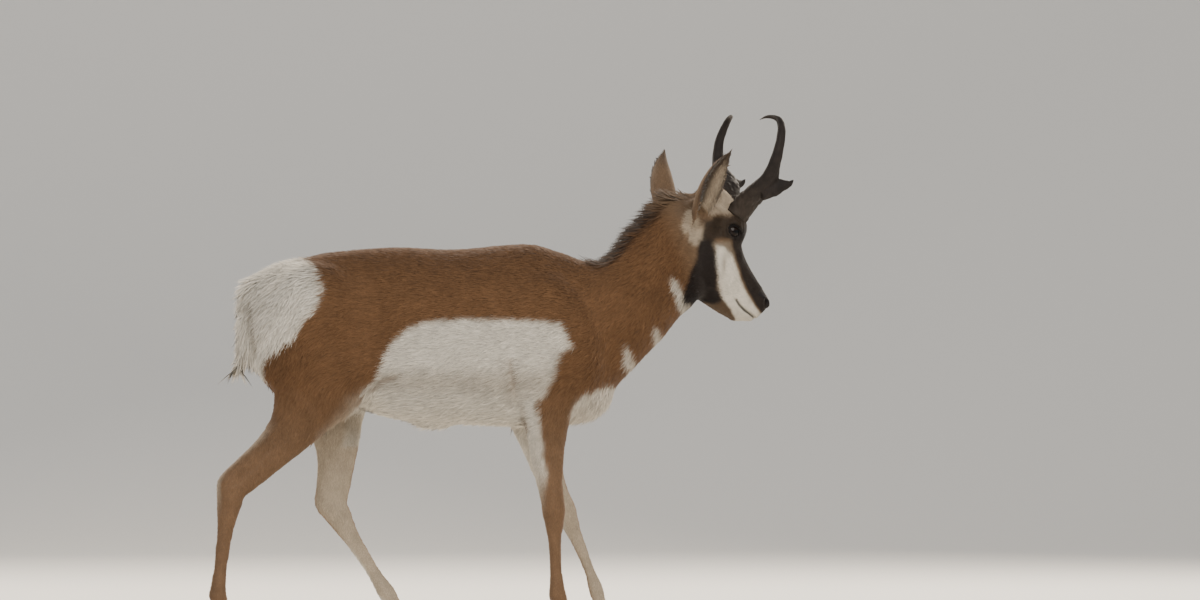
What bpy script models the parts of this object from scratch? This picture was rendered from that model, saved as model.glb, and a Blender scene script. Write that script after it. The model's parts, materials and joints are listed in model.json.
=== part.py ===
# Standing pronghorn buck, life size, as a still model parted into its body regions.
# Metres, +Z up, nose towards +X, the animal's right side towards -Y.
# The body is first laid out with a straight neck. The neck and head are then swung to the
# animal's left by one smooth bend, and everything is set down with its origin under the
# middle of its bounding box.

import math
import random

import bmesh
import bpy
import numpy as np
from mathutils import Matrix, Vector
from mathutils.bvhtree import BVHTree

MM = 0.001
GAP = 0.3 * MM              # space between two nodes that touch
SHORTEST_EDGE = 0.05 * MM   # shorter edges, left by a Boolean, are collapsed
VOXEL = 5.5 * MM            # grid on which the masses of flesh melt together
FINE_PASSES = 7             # smoothing passes for the head and lower legs
BROAD_PASSES = 45           # smoothing passes for trunk, neck and thighs
BODY_FACES = 4600           # triangles of the coarse body
HEAD_FACES = 6800           # triangles of the whole body when only its head is kept

# The bend that turns the head away: it starts at the chest and ends behind the ears.
BEND_START = 0.2045
BEND_LENGTH = 0.160
BEND_ANGLE = math.radians(22)

# Trunk, rump to chest: (x, back height, belly height, half width), all in mm.
# The barrel is widest below its middle, by EGG.
TRUNK = [
    (-582, 742, 668, 32), (-566, 776, 618, 62), (-542, 814, 588, 86), (-500, 838, 566, 100),
    (-455, 846, 552, 108), (-386, 861, 528, 112), (-318, 867, 508, 114), (-227, 872, 482, 128),
    (-114, 866, 474, 139), (-23, 873, 469, 140), (68, 878, 466, 130), (136, 860, 468, 116),
    (205, 834, 486, 96), (250, 800, 540, 62),
]
EGG = 0.16

# Neck, withers to poll, neck straight: (crest x, z), (throat x, z), half width.
NECK = [
    ((100, 850), (170, 520), 92), ((150, 850), (222, 520), 92), ((210, 837), (285, 578), 82),
    ((244, 846), (333, 626), 74), ((274, 878), (374, 664), 68), ((308, 918), (416, 708), 64),
    ((353, 955), (457, 739), 61), ((408, 992), (492, 782), 56),
]

# Head in its own frame: a runs from the nose tip back along the bridge (negative),
# b stands square to it. Each row: upper line, lower line, half width.
NOSE = (653, 745)
FACE_SLOPE = math.radians(56)
HEAD = [
    ((9, -8), (15, -46), 12), ((4, 3), (14, -62), 22), ((-8, 7), (4, -77), 26),
    ((-30, 6), (-14, -96), 29), ((-60, 4), (-38, -114), 33), ((-95, 3), (-68, -129), 41),
    ((-130, 6), (-100, -144), 48), ((-165, 17), (-135, -156), 54), ((-200, 34), (-170, -160), 58),
    ((-232, 40), (-205, -148), 58), ((-262, 30), (-245, -122), 55), ((-290, -2), (-285, -96), 46),
]

# Legs. Joints run from the blade or hip down to the coronet, (x, z), with the leg's distance
# from the midline. The thickness along them is shared by a pair: a whole number in the first
# column is a joint, and the rest is reach forward, reach back and half width.
FORE_SHAPE = [
    (0.00, 75, 75, 35), (0.40, 116, 76, 43), (0.75, 108, 78, 46), (1.00, 86, 66, 41),
    (1.20, 58, 54, 35), (1.40, 42, 46, 31), (1.60, 33, 41, 27), (1.80, 27, 33, 24),
    (1.95, 28, 27, 24), (2.05, 30, 26, 25), (2.20, 24, 21, 21), (2.40, 17, 16, 16),
    (2.75, 15, 15, 14), (2.92, 18, 19, 18), (3.05, 20, 22, 20), (3.50, 17, 19, 18),
    (4.00, 19, 19, 20), (4.25, 19, 19, 20),
]
HIND_SHAPE = [
    (0.00, 100, 112, 52), (0.40, 124, 138, 62), (0.75, 122, 133, 60), (1.00, 78, 132, 52),
    (1.20, 57, 98, 43), (1.40, 52, 58, 36), (1.60, 46, 41, 30), (1.80, 42, 40, 25),
    (1.92, 40, 41, 23), (2.00, 38, 34, 24), (2.10, 34, 29, 24), (2.20, 28, 26, 21),
    (2.40, 20, 19, 17), (2.75, 16, 17, 14), (2.92, 18, 20, 18), (3.05, 20, 22, 20),
    (3.50, 17, 20, 18), (4.00, 19, 19, 20), (4.25, 19, 19, 20),
]
LEGS = {
    "fore_right": (FORE_SHAPE, -84, [(125, 750), (90, 533), (108, 290), (119, 92), (140, 34)]),
    "fore_left": (FORE_SHAPE, 84, [(148, 750), (75, 515), (150, 287), (236, 98), (262, 34)]),
    "hind_right": (HIND_SHAPE, -90, [(-455, 752), (-400, 538), (-622, 330), (-649, 95), (-622, 34)]),
    "hind_left": (HIND_SHAPE, 90, [(-420, 752), (-350, 532), (-372, 285), (-246, 92), (-212, 34)]),
}
JOINT_BLEND = 0.35          # share of a bone over which the section turns at a joint
LEG_TOP_INSET = 0.5         # how near the midline a leg starts, as a share of its distance

# Hooves, measured from the coronet's middle.
HOOF_TOE = {"fore": 50, "hind": 46}
HOOF_HEEL = 29
HOOF_HALF_WIDTH = 24
HOOF_HEIGHT = 40
CORONET_SLOPE = math.radians(17)
CLEFT_WIDTH = 4

# Eyes, horns and ears: places are (x, sideways, z) with the neck straight, right-hand side
# mirrored from the left.
EYE_AT = (-203, -15, 53)    # a, b, sideways
EYE_RADIUS = 20.5
EYE_OPENING = (1.0, 0.66)   # slopes from the eye's centre to the rim, along the lids and across
EYE_SLOPE = math.radians(34)    # the lids' corners lie on a line that falls forward by this
LID_THICK = 3.4
OPENING_INSET = 0.12        # how far the skin's opening stays inside the lids' rim
HORN_PATH = [
    (534, 42, 924), (552, 48, 948), (571, 58, 974), (588, 76, 999), (598, 97, 1020),
    (599, 116, 1042), (602, 130, 1073), (608, 135, 1106), (616, 128, 1136), (619, 113, 1156),
    (614, 94, 1163), (605, 77, 1163), (594, 62, 1155),
]
# half depth along the blade and half width across it, at each point of the path
HORN_SECTION = [
    (30, 18), (31, 18), (34, 17), (36, 15), (30, 13), (20, 11.5), (14, 10.5), (11.6, 9.5),
    (10, 8.4), (8.4, 7.2), (6.2, 5.6), (4.4, 4.0), (1.2, 1.2),
]
HORN_ROOT = 1.5             # where the sheath begins, in steps of its path
PRONG_PATH = [
    (587, 84, 998), (614, 94, 1003), (630, 100, 1008), (641, 104, 1010), (653, 106, 1014),
    (662, 108, 1023),
]
PRONG_SECTION = [(26, 12), (21, 10.5), (17, 9), (12, 7.5), (6.6, 5), (1.4, 1.4)]
SHAFT_DEEP = (1.0, 0.0, 0.25)   # the way in which the shaft's section is deep, neck straight
PRONG_DEEP = (0.0, 0.0, 1.0)    # and the prong's: a blade on edge
EAR_PATH = [
    (434, 26, 897), (438, 62, 939), (440, 83, 965), (442, 104, 992), (447, 121, 1022),
    (456, 136, 1054), (472, 148, 1086),
]
EAR_RADIUS = [10, 20, 26, 29.5, 27, 18, 1.5]
EAR_WRAP = [125, 122, 112, 100, 88, 80, 70]     # half of the curl, degrees
EAR_THICK = [5.0, 4.6, 4.0, 3.4, 2.8, 2.2, 0.8]
EAR_ROOT = 2.0
EAR_FACES = (0.12, 0.98, 0.05)                  # the way the cup opens: ahead, outwards, up

# Tail, root to tip: (x, z), half depth, half width.
TAIL = [
    ((-528, 812), 12, 16), ((-552, 800), 16, 22), ((-570, 772), 17, 27), ((-577, 728), 16, 29),
    ((-579, 684), 16, 29), ((-583, 645), 15, 26), ((-591, 610), 12, 19), ((-598, 584), 4, 7),
]

# Locks of long hair: length, width and thickness in mm, how far the tip stands off, and how
# deep the root is sunk.
SEED = 7
MANE_LOCK = (58, 25, 7, 13, 9)
MANE_RUN = (246, 372, 10)       # from, to and steps along the crest, neck straight
MANE_COLUMNS = (-17, 0, 17)
TAIL_LOCK = (62, 20, 7, 7, 7)
TAIL_RUN = (0.30, 0.88, 6)      # from, to and steps along the tail
TAIL_COLUMNS = (-52, -18, 18, 52)
RUMP_LOCK = (56, 27, 8, 9, 9)
RUMP_STEP = 29
RUMP_FLANK = ((-430, 690), (-548, 640))     # lower edge of the pale patch, (x, z)
RUMP_TOP = 838
TAIL_CLEAR = 60                 # rump locks keep this far from the midline behind
LOCK_SPREAD = 0.12              # how much each lock's size and lie may vary

# Where the body is parted: a point on the plane and the plane's upward direction in (x, z).
NECK_CUT = ((140, 860), (285, 520))
HEAD_CUT = ((365, 985), (452, 725))
FORE_CUT = 458              # height of the forelegs' cut
HIND_CUT_LOW = (-262, 468)
HIND_CUT_HIGH = (-585, 600)

# Colours as RGB, with roughness.
FINISH = {
    "tan_coat": ((0.36, 0.17, 0.075), 0.85),
    "white_coat": ((0.78, 0.72, 0.62), 0.85),
    "face_coat": ((0.30, 0.16, 0.09), 0.85),
    "horn": ((0.018, 0.014, 0.012), 0.45),
    "hoof": ((0.020, 0.017, 0.015), 0.40),
    "eye": ((0.012, 0.008, 0.006), 0.08),
}


# Curves and frames

def smooth_rows(rows, count):
    """Rows of numbers carried on a Catmull-Rom curve and read at evenly spaced steps."""
    table = np.array(rows, dtype=float)
    padded = np.vstack([2 * table[0] - table[1], table, 2 * table[-1] - table[-2]])
    place = np.linspace(0, len(table) - 1, count)
    index = np.minimum(place.astype(int), len(table) - 2)
    part = (place - index)[:, None]
    p0, p1, p2, p3 = (padded[index + k] for k in range(4))
    return 0.5 * (2 * p1 + (p2 - p0) * part + (2 * p0 - 5 * p1 + 4 * p2 - p3) * part**2
                  + (3 * p1 - p0 - 3 * p2 + p3) * part**3)


def unit(vectors):
    """Rows scaled to length one."""
    return vectors / np.maximum(np.linalg.norm(vectors, axis=-1, keepdims=True), 1e-9)


def bend(points):
    """Turn what lies ahead of the chest to the left, evenly along the neck.

    The heading grows in proportion to x through the bend, and the path's place is that
    heading summed up, so lengths along the neck are kept.
    """
    points = np.array(points, dtype=float)
    run = np.clip(points[:, 0] - BEND_START, 0, BEND_LENGTH)
    radius = BEND_LENGTH / BEND_ANGLE
    angle = run / radius
    ahead = np.maximum(points[:, 0] - BEND_START - BEND_LENGTH, 0)
    base = np.minimum(points[:, 0], BEND_START)
    out = points.copy()
    out[:, 0] = base + radius * np.sin(angle) + ahead * np.cos(angle) - points[:, 1] * np.sin(angle)
    out[:, 1] = radius * (1 - np.cos(angle)) + ahead * np.sin(angle) + points[:, 1] * np.cos(angle)
    return out


def swing(points):
    """The same turn for a flat piece that has to stay flat: as if all of it lay ahead."""
    points = np.array(points, dtype=float)
    end = bend([[BEND_START + BEND_LENGTH, 0, 0]])[0]
    offset = points - [BEND_START + BEND_LENGTH, 0, 0]
    cos, sin = math.cos(BEND_ANGLE), math.sin(BEND_ANGLE)
    out = points.copy()
    out[:, 0] = end[0] + offset[:, 0] * cos - offset[:, 1] * sin
    out[:, 1] = end[1] + offset[:, 0] * sin + offset[:, 1] * cos
    return out


def head_point(a, b, side=0):
    """A place on the head, in mm along and square to the bridge, as metres in the body."""
    cos, sin = math.cos(FACE_SLOPE), math.sin(FACE_SLOPE)
    return ((NOSE[0] + a * cos + b * sin) * MM, side * MM, (NOSE[1] - a * sin + b * cos) * MM)


# Mesh helpers

def new_object(name, verts, faces, collection):
    """A mesh object from plain lists, linked to one collection."""
    mesh = bpy.data.meshes.new(name)
    mesh.from_pydata([tuple(v) for v in verts], [], faces)
    obj = bpy.data.objects.new(name, mesh)
    collection.objects.link(obj)
    return obj


def tube_faces(rings, around):
    """Quads between neighbouring rings, and a fan to a last point at either end."""
    faces = []
    for i in range(rings - 1):
        for j in range(around):
            k = (j + 1) % around
            faces.append((i * around + j, i * around + k, (i + 1) * around + k, (i + 1) * around + j))
    first = rings * around
    last = first + 1
    top = (rings - 1) * around
    for j in range(around):
        k = (j + 1) % around
        faces.append((first, k, j))
        faces.append((last, top + j, top + k))
    return faces


def tube(name, rings, collection):
    """A closed tube through an array of rings (ring, around, xyz), capped by fans."""
    count, around = rings.shape[:2]
    caps = np.array([rings[0].mean(axis=0), rings[-1].mean(axis=0)])
    verts = np.vstack([rings.reshape(-1, 3), caps])
    obj = new_object(name, verts, tube_faces(count, around), collection)
    face_outward(obj)
    return obj


def face_outward(obj):
    """Turn every face of a closed mesh to point out."""
    work = bmesh.new()
    work.from_mesh(obj.data)
    bmesh.ops.recalc_face_normals(work, faces=work.faces)
    work.to_mesh(obj.data)
    work.free()


def apply_modifiers(obj):
    """Make the evaluated shape the object's own mesh."""
    bpy.context.view_layer.update()
    graph = bpy.context.evaluated_depsgraph_get()
    mesh = bpy.data.meshes.new_from_object(obj.evaluated_get(graph))
    obj.modifiers.clear()
    obj.data = mesh


def remove(obj):
    bpy.data.objects.remove(obj, do_unlink=True)


def combine(obj, other, operation, solver="EXACT"):
    """One Boolean with another object, applied, and the other object removed."""
    cut = obj.modifiers.new(operation.title(), "BOOLEAN")
    cut.operation = operation
    cut.solver = solver
    cut.object = other
    apply_modifiers(obj)
    remove(other)


def combine_all(obj, others, operation, solver="EXACT"):
    """One Boolean with many objects at once, applied, and those objects removed."""
    group = bpy.data.collections.new("joined to " + obj.name)
    for other in others:
        group.objects.link(other)
    cut = obj.modifiers.new(operation.title(), "BOOLEAN")
    cut.operation = operation
    cut.solver = solver
    cut.operand_type = "COLLECTION"
    cut.collection = group
    apply_modifiers(obj)
    for other in others:
        remove(other)
    bpy.data.collections.remove(group)


def islands(work):
    """The connected pieces of a mesh, as lists of faces."""
    seen = set()
    found = []
    work.verts.index_update()
    work.faces.index_update()
    for face in work.faces:
        if face.index in seen:
            continue
        stack = [face]
        seen.add(face.index)
        piece = []
        while stack:
            here = stack.pop()
            piece.append(here)
            for edge in here.edges:
                for near in edge.link_faces:
                    if near.index not in seen:
                        seen.add(near.index)
                        stack.append(near)
        found.append(piece)
    return found


def piece_volume(faces):
    """Volume inside a closed piece, by summing tetrahedra to the origin."""
    total = 0.0
    for face in faces:
        corners = [v.co for v in face.verts]
        for i in range(1, len(corners) - 1):
            total += corners[0].dot(corners[i].cross(corners[i + 1])) / 6
    return total


def heal(obj):
    """Collapse the hair-thin edges that a Boolean leaves, then make triangles."""
    work = bmesh.new()
    work.from_mesh(obj.data)
    bmesh.ops.triangulate(work, faces=work.faces)
    bmesh.ops.dissolve_degenerate(work, dist=SHORTEST_EDGE, edges=work.edges)
    bmesh.ops.triangulate(work, faces=work.faces)
    work.to_mesh(obj.data)
    work.free()


def keep_largest(obj):
    """Keep only the closed surface that encloses the most."""
    work = bmesh.new()
    work.from_mesh(obj.data)
    bmesh.ops.triangulate(work, faces=work.faces)
    pieces = sorted(islands(work), key=piece_volume)
    loose = [face for piece in pieces[:-1] for face in piece]
    bmesh.ops.delete(work, geom=loose, context="FACES")
    work.to_mesh(obj.data)
    work.free()


def copy_of(obj, name, collection):
    twin = bpy.data.objects.new(name, obj.data.copy())
    collection.objects.link(twin)
    return twin


# Masses of flesh

def ellipse_rings(centre, across, up, half_up, half_across, around, egg=0.0, power=2.0):
    """Rings of a superellipse: up * cos(t), across * sin(t), fuller below by egg."""
    turn = np.linspace(0, 2 * math.pi, around, endpoint=False)
    cos = np.cos(turn)
    sin = np.sin(turn)
    tall = np.sign(cos) * np.abs(cos) ** (2 / power)
    wide = np.sign(sin) * np.abs(sin) ** (2 / power) * (1 - egg * cos)
    return (centre[:, None, :] + up[:, None, :] * (half_up[:, None] * tall)[..., None]
            + across[:, None, :] * (half_across[:, None] * wide)[..., None])


def profile_rings(rows, count, around, side=0.0, egg=0.0, power=2.0):
    """Rings through rows of (upper x, z, lower x, z, half width), in mm, at one distance
    from the midline."""
    table = smooth_rows(rows, count) * MM
    upper = np.stack([table[:, 0], np.full(count, side * MM), table[:, 1]], axis=1)
    lower = np.stack([table[:, 2], np.full(count, side * MM), table[:, 3]], axis=1)
    centre = (upper + lower) / 2
    up = unit(upper - lower)
    across = np.tile([0.0, 1.0, 0.0], (count, 1))
    half = np.linalg.norm(upper - lower, axis=1) / 2
    return ellipse_rings(centre, across, up, half, np.maximum(table[:, 4], MM), around, egg, power)


def trunk_rings():
    rows = [(x, top, x, low, wide) for x, top, low, wide in TRUNK]
    return profile_rings(rows, 60, 48, egg=EGG, power=2.15)


def neck_rings():
    rows = [(*crest, *throat, wide) for crest, throat, wide in NECK]
    return profile_rings(rows, 36, 40, egg=0.10)


def head_rings():
    rows = []
    for upper, lower, wide in HEAD:
        top = head_point(*upper)
        low = head_point(*lower)
        rows.append((top[0] / MM, top[2] / MM, low[0] / MM, low[2] / MM, wide))
    return profile_rings(rows, 60, 40, egg=-0.06, power=2.2)


def leg_line(joints, place):
    """Point and forward direction at one place along a leg's joints."""
    points = np.array(joints, dtype=float)
    bones = unit(np.diff(points, axis=0))
    bone = min(int(place), len(bones) - 1)
    part = place - bone
    point = points[bone] + (points[bone + 1] - points[bone]) * part
    way = bones[bone]
    if part < JOINT_BLEND and bone > 0:
        share = 0.5 + 0.5 * part / JOINT_BLEND
        way = bones[bone - 1] * (1 - share) + way * share
    if 1 - JOINT_BLEND < part <= 1 and bone < len(bones) - 1:
        share = 0.5 + 0.5 * (1 - part) / JOINT_BLEND
        way = bones[bone + 1] * (1 - share) + way * share
    way = way / np.linalg.norm(way)
    return point, np.array([-way[1], way[0]])


def leg_rings(shape, side, joints):
    """Rings down one leg, each square to the bone it rounds, drawn in towards the blade."""
    rows = []
    for place, front, back, wide in shape:
        point, ahead = leg_line(joints, place)
        rows.append((*(point + ahead * front), *(point - ahead * back), wide))
    rings = profile_rings(rows, 70, 28, power=2.1)
    place = smooth_rows([(row[0],) for row in shape], 70)[:, 0]
    inset = np.interp(place, [0, 0.5, 1.1], [LEG_TOP_INSET, 0.8, 1.0])
    rings[:, :, 1] += (side * MM * inset)[:, None]
    return rings


def ball(name, centre, sizes, collection, tilt=0.0, segments=32, rings=16):
    """An ellipsoid with its middle and half sizes in mm, turned about the Y axis."""
    work = bmesh.new()
    bmesh.ops.create_uvsphere(work, u_segments=segments, v_segments=rings, radius=1.0)
    mesh = bpy.data.meshes.new(name)
    work.to_mesh(mesh)
    work.free()
    obj = bpy.data.objects.new(name, mesh)
    collection.objects.link(obj)
    place = Matrix.Translation(Vector(centre) * MM)
    turn = Matrix.Rotation(tilt, 4, "Y")
    size = Matrix.Diagonal((*(s * MM for s in sizes), 1.0))
    obj.data.transform(place @ turn @ size)
    return obj


def head_ball(name, a, b, side, sizes, collection, segments=32, rings=16):
    """An ellipsoid placed and tilted with the face."""
    x, y, z = head_point(a, b, side)
    middle = (x / MM, y / MM, z / MM)
    return ball(name, middle, sizes, collection, FACE_SLOPE, segments, rings)


def flesh_pieces(collection):
    """Every mass that melts into the body, neck straight."""
    pieces = [
        tube("trunk", trunk_rings(), collection),
        tube("neck mass", neck_rings(), collection),
        tube("head mass", head_rings(), collection),
    ]
    for name, (shape, side, joints) in LEGS.items():
        pieces.append(tube(name, leg_rings(shape, side, joints), collection))
    for side in (-1, 1):
        pieces.append(ball("shoulder", (108, side * 84, 655), (112, 50, 160), collection, -0.25))
        pieces.append(ball("haunch", (-430, side * 66, 680), (135, 68, 160), collection, 0.15))
        pieces.append(head_ball("cheek", -165, -95, side * 36, (64, 25, 50), collection))
        pieces.append(head_ball("orbit", -205, -10, side * 42, (47, 31, 36), collection))
        pieces.append(head_ball("brow", -212, 16, side * 32, (46, 26, 26), collection))
        pieces.append(head_ball("cheek bone", -172, -34, side * 32, (62, 26, 33), collection))
        pieces.append(head_ball("temple", -245, -30, side * 28, (44, 50, 36), collection))
        pieces.append(head_ball("ear root", -283, -62, side * 48, (33, 31, 33), collection))
        pieces.append(head_ball("nostril wing", -4, -14, side * 17, (17, 12, 15), collection))
    pieces.append(head_ball("crown", -250, 4, 0, (60, 50, 46), collection))
    pieces.append(head_ball("poll", -283, -57, 0, (42, 46, 50), collection))
    pieces.append(head_ball("upper lip", -20, -66, 0, (26, 26, 16), collection))
    pieces.append(head_ball("lower lip", -34, -92, 0, (30, 20, 13), collection))
    pieces.append(ball("brisket", (168, 0, 556), (94, 70, 84), collection))
    pieces.append(ball("sheath", (-148, 0, 480), (58, 24, 20), collection))
    return pieces


def melt(pieces, name, collection):
    """Fuse overlapping closed masses on a fine grid, smooth them and bend the neck."""
    work = bmesh.new()
    for piece in pieces:
        work.from_mesh(piece.data)
        remove(piece)
    mesh = bpy.data.meshes.new(name)
    work.to_mesh(mesh)
    work.free()
    body = bpy.data.objects.new(name, mesh)
    collection.objects.link(body)
    grid = body.modifiers.new("Melt", "REMESH")
    grid.mode = "VOXEL"
    grid.voxel_size = VOXEL
    apply_modifiers(body)
    ease(body)
    move_points(body, bend)
    keep_largest(body)
    return body


def ease(body):
    """Draw every vertex towards the mean of its neighbours, longest where the masses are broad.

    A weight falls from one on the trunk to nothing on the head and below the elbows; passes
    past the first few move a vertex only by that weight.
    """
    mesh = body.data
    count = len(mesh.vertices)
    flat = np.empty(count * 3)
    mesh.vertices.foreach_get("co", flat)
    points = flat.reshape(-1, 3)
    pairs = np.empty(len(mesh.edges) * 2, dtype=np.int32)
    mesh.edges.foreach_get("vertices", pairs)
    first, second = pairs.reshape(-1, 2).T
    near = np.bincount(first, minlength=count) + np.bincount(second, minlength=count)
    low = np.clip((points[:, 2] - 0.44) / 0.12, 0, 1)
    head = np.clip((0.44 - points[:, 0] + (points[:, 2] - 0.90) * 0.35) / 0.08, 0, 1)
    broad = (low * head)[:, None]
    for step in range(BROAD_PASSES):
        total = np.empty_like(points)
        for axis in range(3):
            column = points[:, axis]
            total[:, axis] = (np.bincount(first, weights=column[second], minlength=count)
                              + np.bincount(second, weights=column[first], minlength=count))
        weight = 1.0 if step < FINE_PASSES else broad
        points = points + 0.5 * weight * (total / near[:, None] - points)
    mesh.vertices.foreach_set("co", points.ravel())
    mesh.update()


def move_points(obj, rule):
    """Send every vertex of a mesh through a function of an array of points."""
    count = len(obj.data.vertices)
    flat = np.empty(count * 3)
    obj.data.vertices.foreach_get("co", flat)
    obj.data.vertices.foreach_set("co", rule(flat.reshape(-1, 3)).ravel())
    obj.data.update()


def thin_out(obj, faces):
    """Reduce a mesh to about so many triangles."""
    count = sum(len(p.vertices) - 2 for p in obj.data.polygons)
    fewer = obj.modifiers.new("Thin out", "DECIMATE")
    fewer.ratio = min(1.0, faces / count)
    apply_modifiers(obj)


# Cutters

def block(name, centre, size, collection, matrix=None):
    """A box cutter, in metres, optionally turned about its own middle."""
    work = bmesh.new()
    bmesh.ops.create_cube(work, size=1.0)
    mesh = bpy.data.meshes.new(name)
    work.to_mesh(mesh)
    work.free()
    turn = matrix if matrix is not None else Matrix.Identity(4)
    mesh.transform(Matrix.Translation(Vector(centre)) @ turn @ Matrix.Diagonal((*size, 1.0)))
    cutter = bpy.data.objects.new(name, mesh)
    collection.objects.link(cutter)
    cutter.hide_render = True
    cutter.display_type = "WIRE"
    return cutter


def sheet(name, high, low, thick, collection, reach=(0.25, 0.16), sides=(-0.4, 0.4)):
    """A thin slab through two points of the profile (mm), carried on past both ends."""
    high = np.array(high, dtype=float) * MM
    low = np.array(low, dtype=float) * MM
    along = high - low
    length = np.linalg.norm(along)
    along = along / length
    start = low - along * reach[1]
    end = high + along * reach[0]
    middle = (start + end) / 2
    span = np.linalg.norm(end - start)
    angle = math.atan2(along[0], along[1])
    turn = Matrix.Rotation(angle, 4, "Y")
    centre = (middle[0], (sides[0] + sides[1]) / 2, middle[1])
    return block(name, centre, (thick, sides[1] - sides[0], span), collection, turn)


def body_cuts(collection):
    """The thin slabs that part the flesh into head, neck, torso and legs."""
    cuts = [sheet("neck cut", *NECK_CUT, GAP, collection)]
    head_cut = sheet("head cut", *HEAD_CUT, GAP, collection, reach=(0.12, 0.10))
    move_points(head_cut, swing)
    cuts.append(head_cut)
    height = FORE_CUT * MM
    cuts.append(block("fore cut", (0.14, 0, height), (0.42, 0.5, GAP), collection))
    low = np.array(HIND_CUT_LOW) * MM
    high = np.array(HIND_CUT_HIGH) * MM
    middle = (low + high) / 2
    along = high - low
    angle = math.atan2(along[1], -along[0])
    turn = Matrix.Rotation(angle, 4, "Y")
    span = np.linalg.norm(along) + 0.10
    cuts.append(block("hind cut", (middle[0], 0, middle[1]), (span, 0.6, GAP), collection, turn))
    return cuts


def split_body(body, parts, cutters):
    """Part the flesh by its cuts and name each loose piece by where it lies."""
    combine_all(body, body_cuts(cutters), "DIFFERENCE")
    work = bmesh.new()
    work.from_mesh(body.data)
    bmesh.ops.triangulate(work, faces=work.faces)
    pieces = [p for p in islands(work) if piece_volume(p) > 1e-5]
    named = {}
    for piece in pieces:
        middle = sum((f.calc_center_median() for f in piece), Vector()) / len(piece)
        name = region_name(middle)
        index = {}
        verts = []
        faces = []
        for face in piece:
            for vert in face.verts:
                if vert.index not in index:
                    index[vert.index] = len(verts)
                    verts.append(tuple(vert.co))
            faces.append([index[v.index] for v in face.verts])
        named[name] = new_object(name, verts, faces, parts)
    work.free()
    remove(body)
    return named


def region_name(middle):
    """Which part of the animal a loose piece is, by its middle."""
    if middle.x > 0.40:
        return "head"
    if middle.z > 0.64 and middle.x > 0.19:
        return "neck"
    if middle.z > 0.56:
        return "torso"
    end = "fore" if middle.x > 0 else "hind"
    side = "right" if middle.y < 0 else "left"
    return "leg_" + end + "_" + side


# Horns, ears, eyes and face

def path_frames(points, outward):
    """Tangents along a path, with two directions square to them, the first near outward."""
    way = unit(np.gradient(points, axis=0))
    side = outward - (outward * way).sum(axis=1, keepdims=True) * way
    side = unit(side)
    return way, side, np.cross(way, side)


def horn_piece(name, path, section, deep, side, count, around, collection):
    """A tapering horn: an ellipse carried along the path, its depth turned to one direction."""
    rows = [(*p, *s) for p, s in zip(path, section)]
    table = smooth_rows(rows, count) * MM
    points = table[:, :3] * [1, side, 1]
    _, up, across = path_frames(points, np.array([deep]))
    rings = ellipse_rings(points, across, up, table[:, 3], table[:, 4], around)
    return tube(name, rings, collection)


def horn(side, collection):
    """Shaft and prong joined, neck bend applied."""
    shaft = horn_piece("horn shaft", HORN_PATH, HORN_SECTION, SHAFT_DEEP, side, 25, 10, collection)
    prong = horn_piece("prong", PRONG_PATH, PRONG_SECTION, PRONG_DEEP, side, 8, 8, collection)
    combine(shaft, prong, "UNION", "MANIFOLD")
    move_points(shaft, bend)
    return shaft


def ear(side, collection):
    """A leaf of skin curled into a cup: an arc outside, a smaller arc inside."""
    count, half = 12, 8
    rows = [(*p, r, w, t) for p, r, w, t in zip(EAR_PATH, EAR_RADIUS, EAR_WRAP, EAR_THICK)]
    table = smooth_rows(rows, count)
    points = table[:, :3] * [1, side, 1] * MM
    opening = np.array([EAR_FACES]) * [1, side, 1]
    _, front, across = path_frames(points, opening)
    curl = np.radians(np.clip(table[:, 4], 20, 160))
    sweep = np.linspace(-1, 1, half)
    turn = curl[:, None] * sweep[None, :]
    radius = np.maximum(table[:, 3], 0.8)[:, None] * MM
    wall = np.minimum(table[:, 5][:, None] * MM, radius * 0.8)
    taper = 1 - 0.55 * np.abs(sweep[None, :]) ** 3
    outer = ring_arc(points, front, across, turn, radius)
    inner = ring_arc(points, front, across, turn[:, ::-1], radius - wall * taper[:, ::-1])
    obj = tube("ear", np.concatenate([outer, inner], axis=1), collection)
    move_points(obj, bend)
    return obj


def ring_arc(points, front, across, turn, radius):
    """Arc behind the ear's axis: minus front times cosine, plus across times sine."""
    back = -front[:, None, :] * (radius * np.cos(turn))[..., None]
    side = across[:, None, :] * (radius * np.sin(turn))[..., None]
    return points[:, None, :] + back + side


def eye_centre(side):
    a, b, out = EYE_AT
    return head_point(a, b, side * out)


def eyeball(name, side, radius, collection, segments=16, rings=10):
    x, y, z = eye_centre(side)
    obj = ball(name, (x / MM, y / MM, z / MM), (radius,) * 3, collection, 0.0, segments, rings)
    move_points(obj, bend)
    return obj


def almond(side, steps):
    """Directions from the eye's centre to the rim of its lids.

    They are an ellipse about the sideways direction, longer along the lids' own slope than
    across it, and drawn in above and below towards the corners.
    """
    turn = np.linspace(0, 2 * math.pi, steps, endpoint=False)
    along = EYE_OPENING[0] * np.cos(turn)
    above = EYE_OPENING[1] * np.sin(turn) * (1 - 0.18 * np.cos(turn) ** 2)
    heading = np.array([math.cos(EYE_SLOPE), 0, -math.sin(EYE_SLOPE)])
    square = np.array([math.sin(EYE_SLOPE), 0, math.cos(EYE_SLOPE)])
    out = np.array([0.0, side, 0.0])
    return unit(out + heading * along[:, None] + square * above[:, None])


def eye_opening(side, collection):
    """A cutter that opens the skin over the eye, a cone of the almond's directions."""
    way = unit(almond(side, 16) + [0, side * OPENING_INSET, 0])
    centre = np.array(eye_centre(side))
    near, far = 0.4 * EYE_RADIUS * MM, 2.0 * EYE_RADIUS * MM
    obj = tube("eye opening", np.stack([centre + way * near, centre + way * far]), collection)
    move_points(obj, bend)
    return obj


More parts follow.
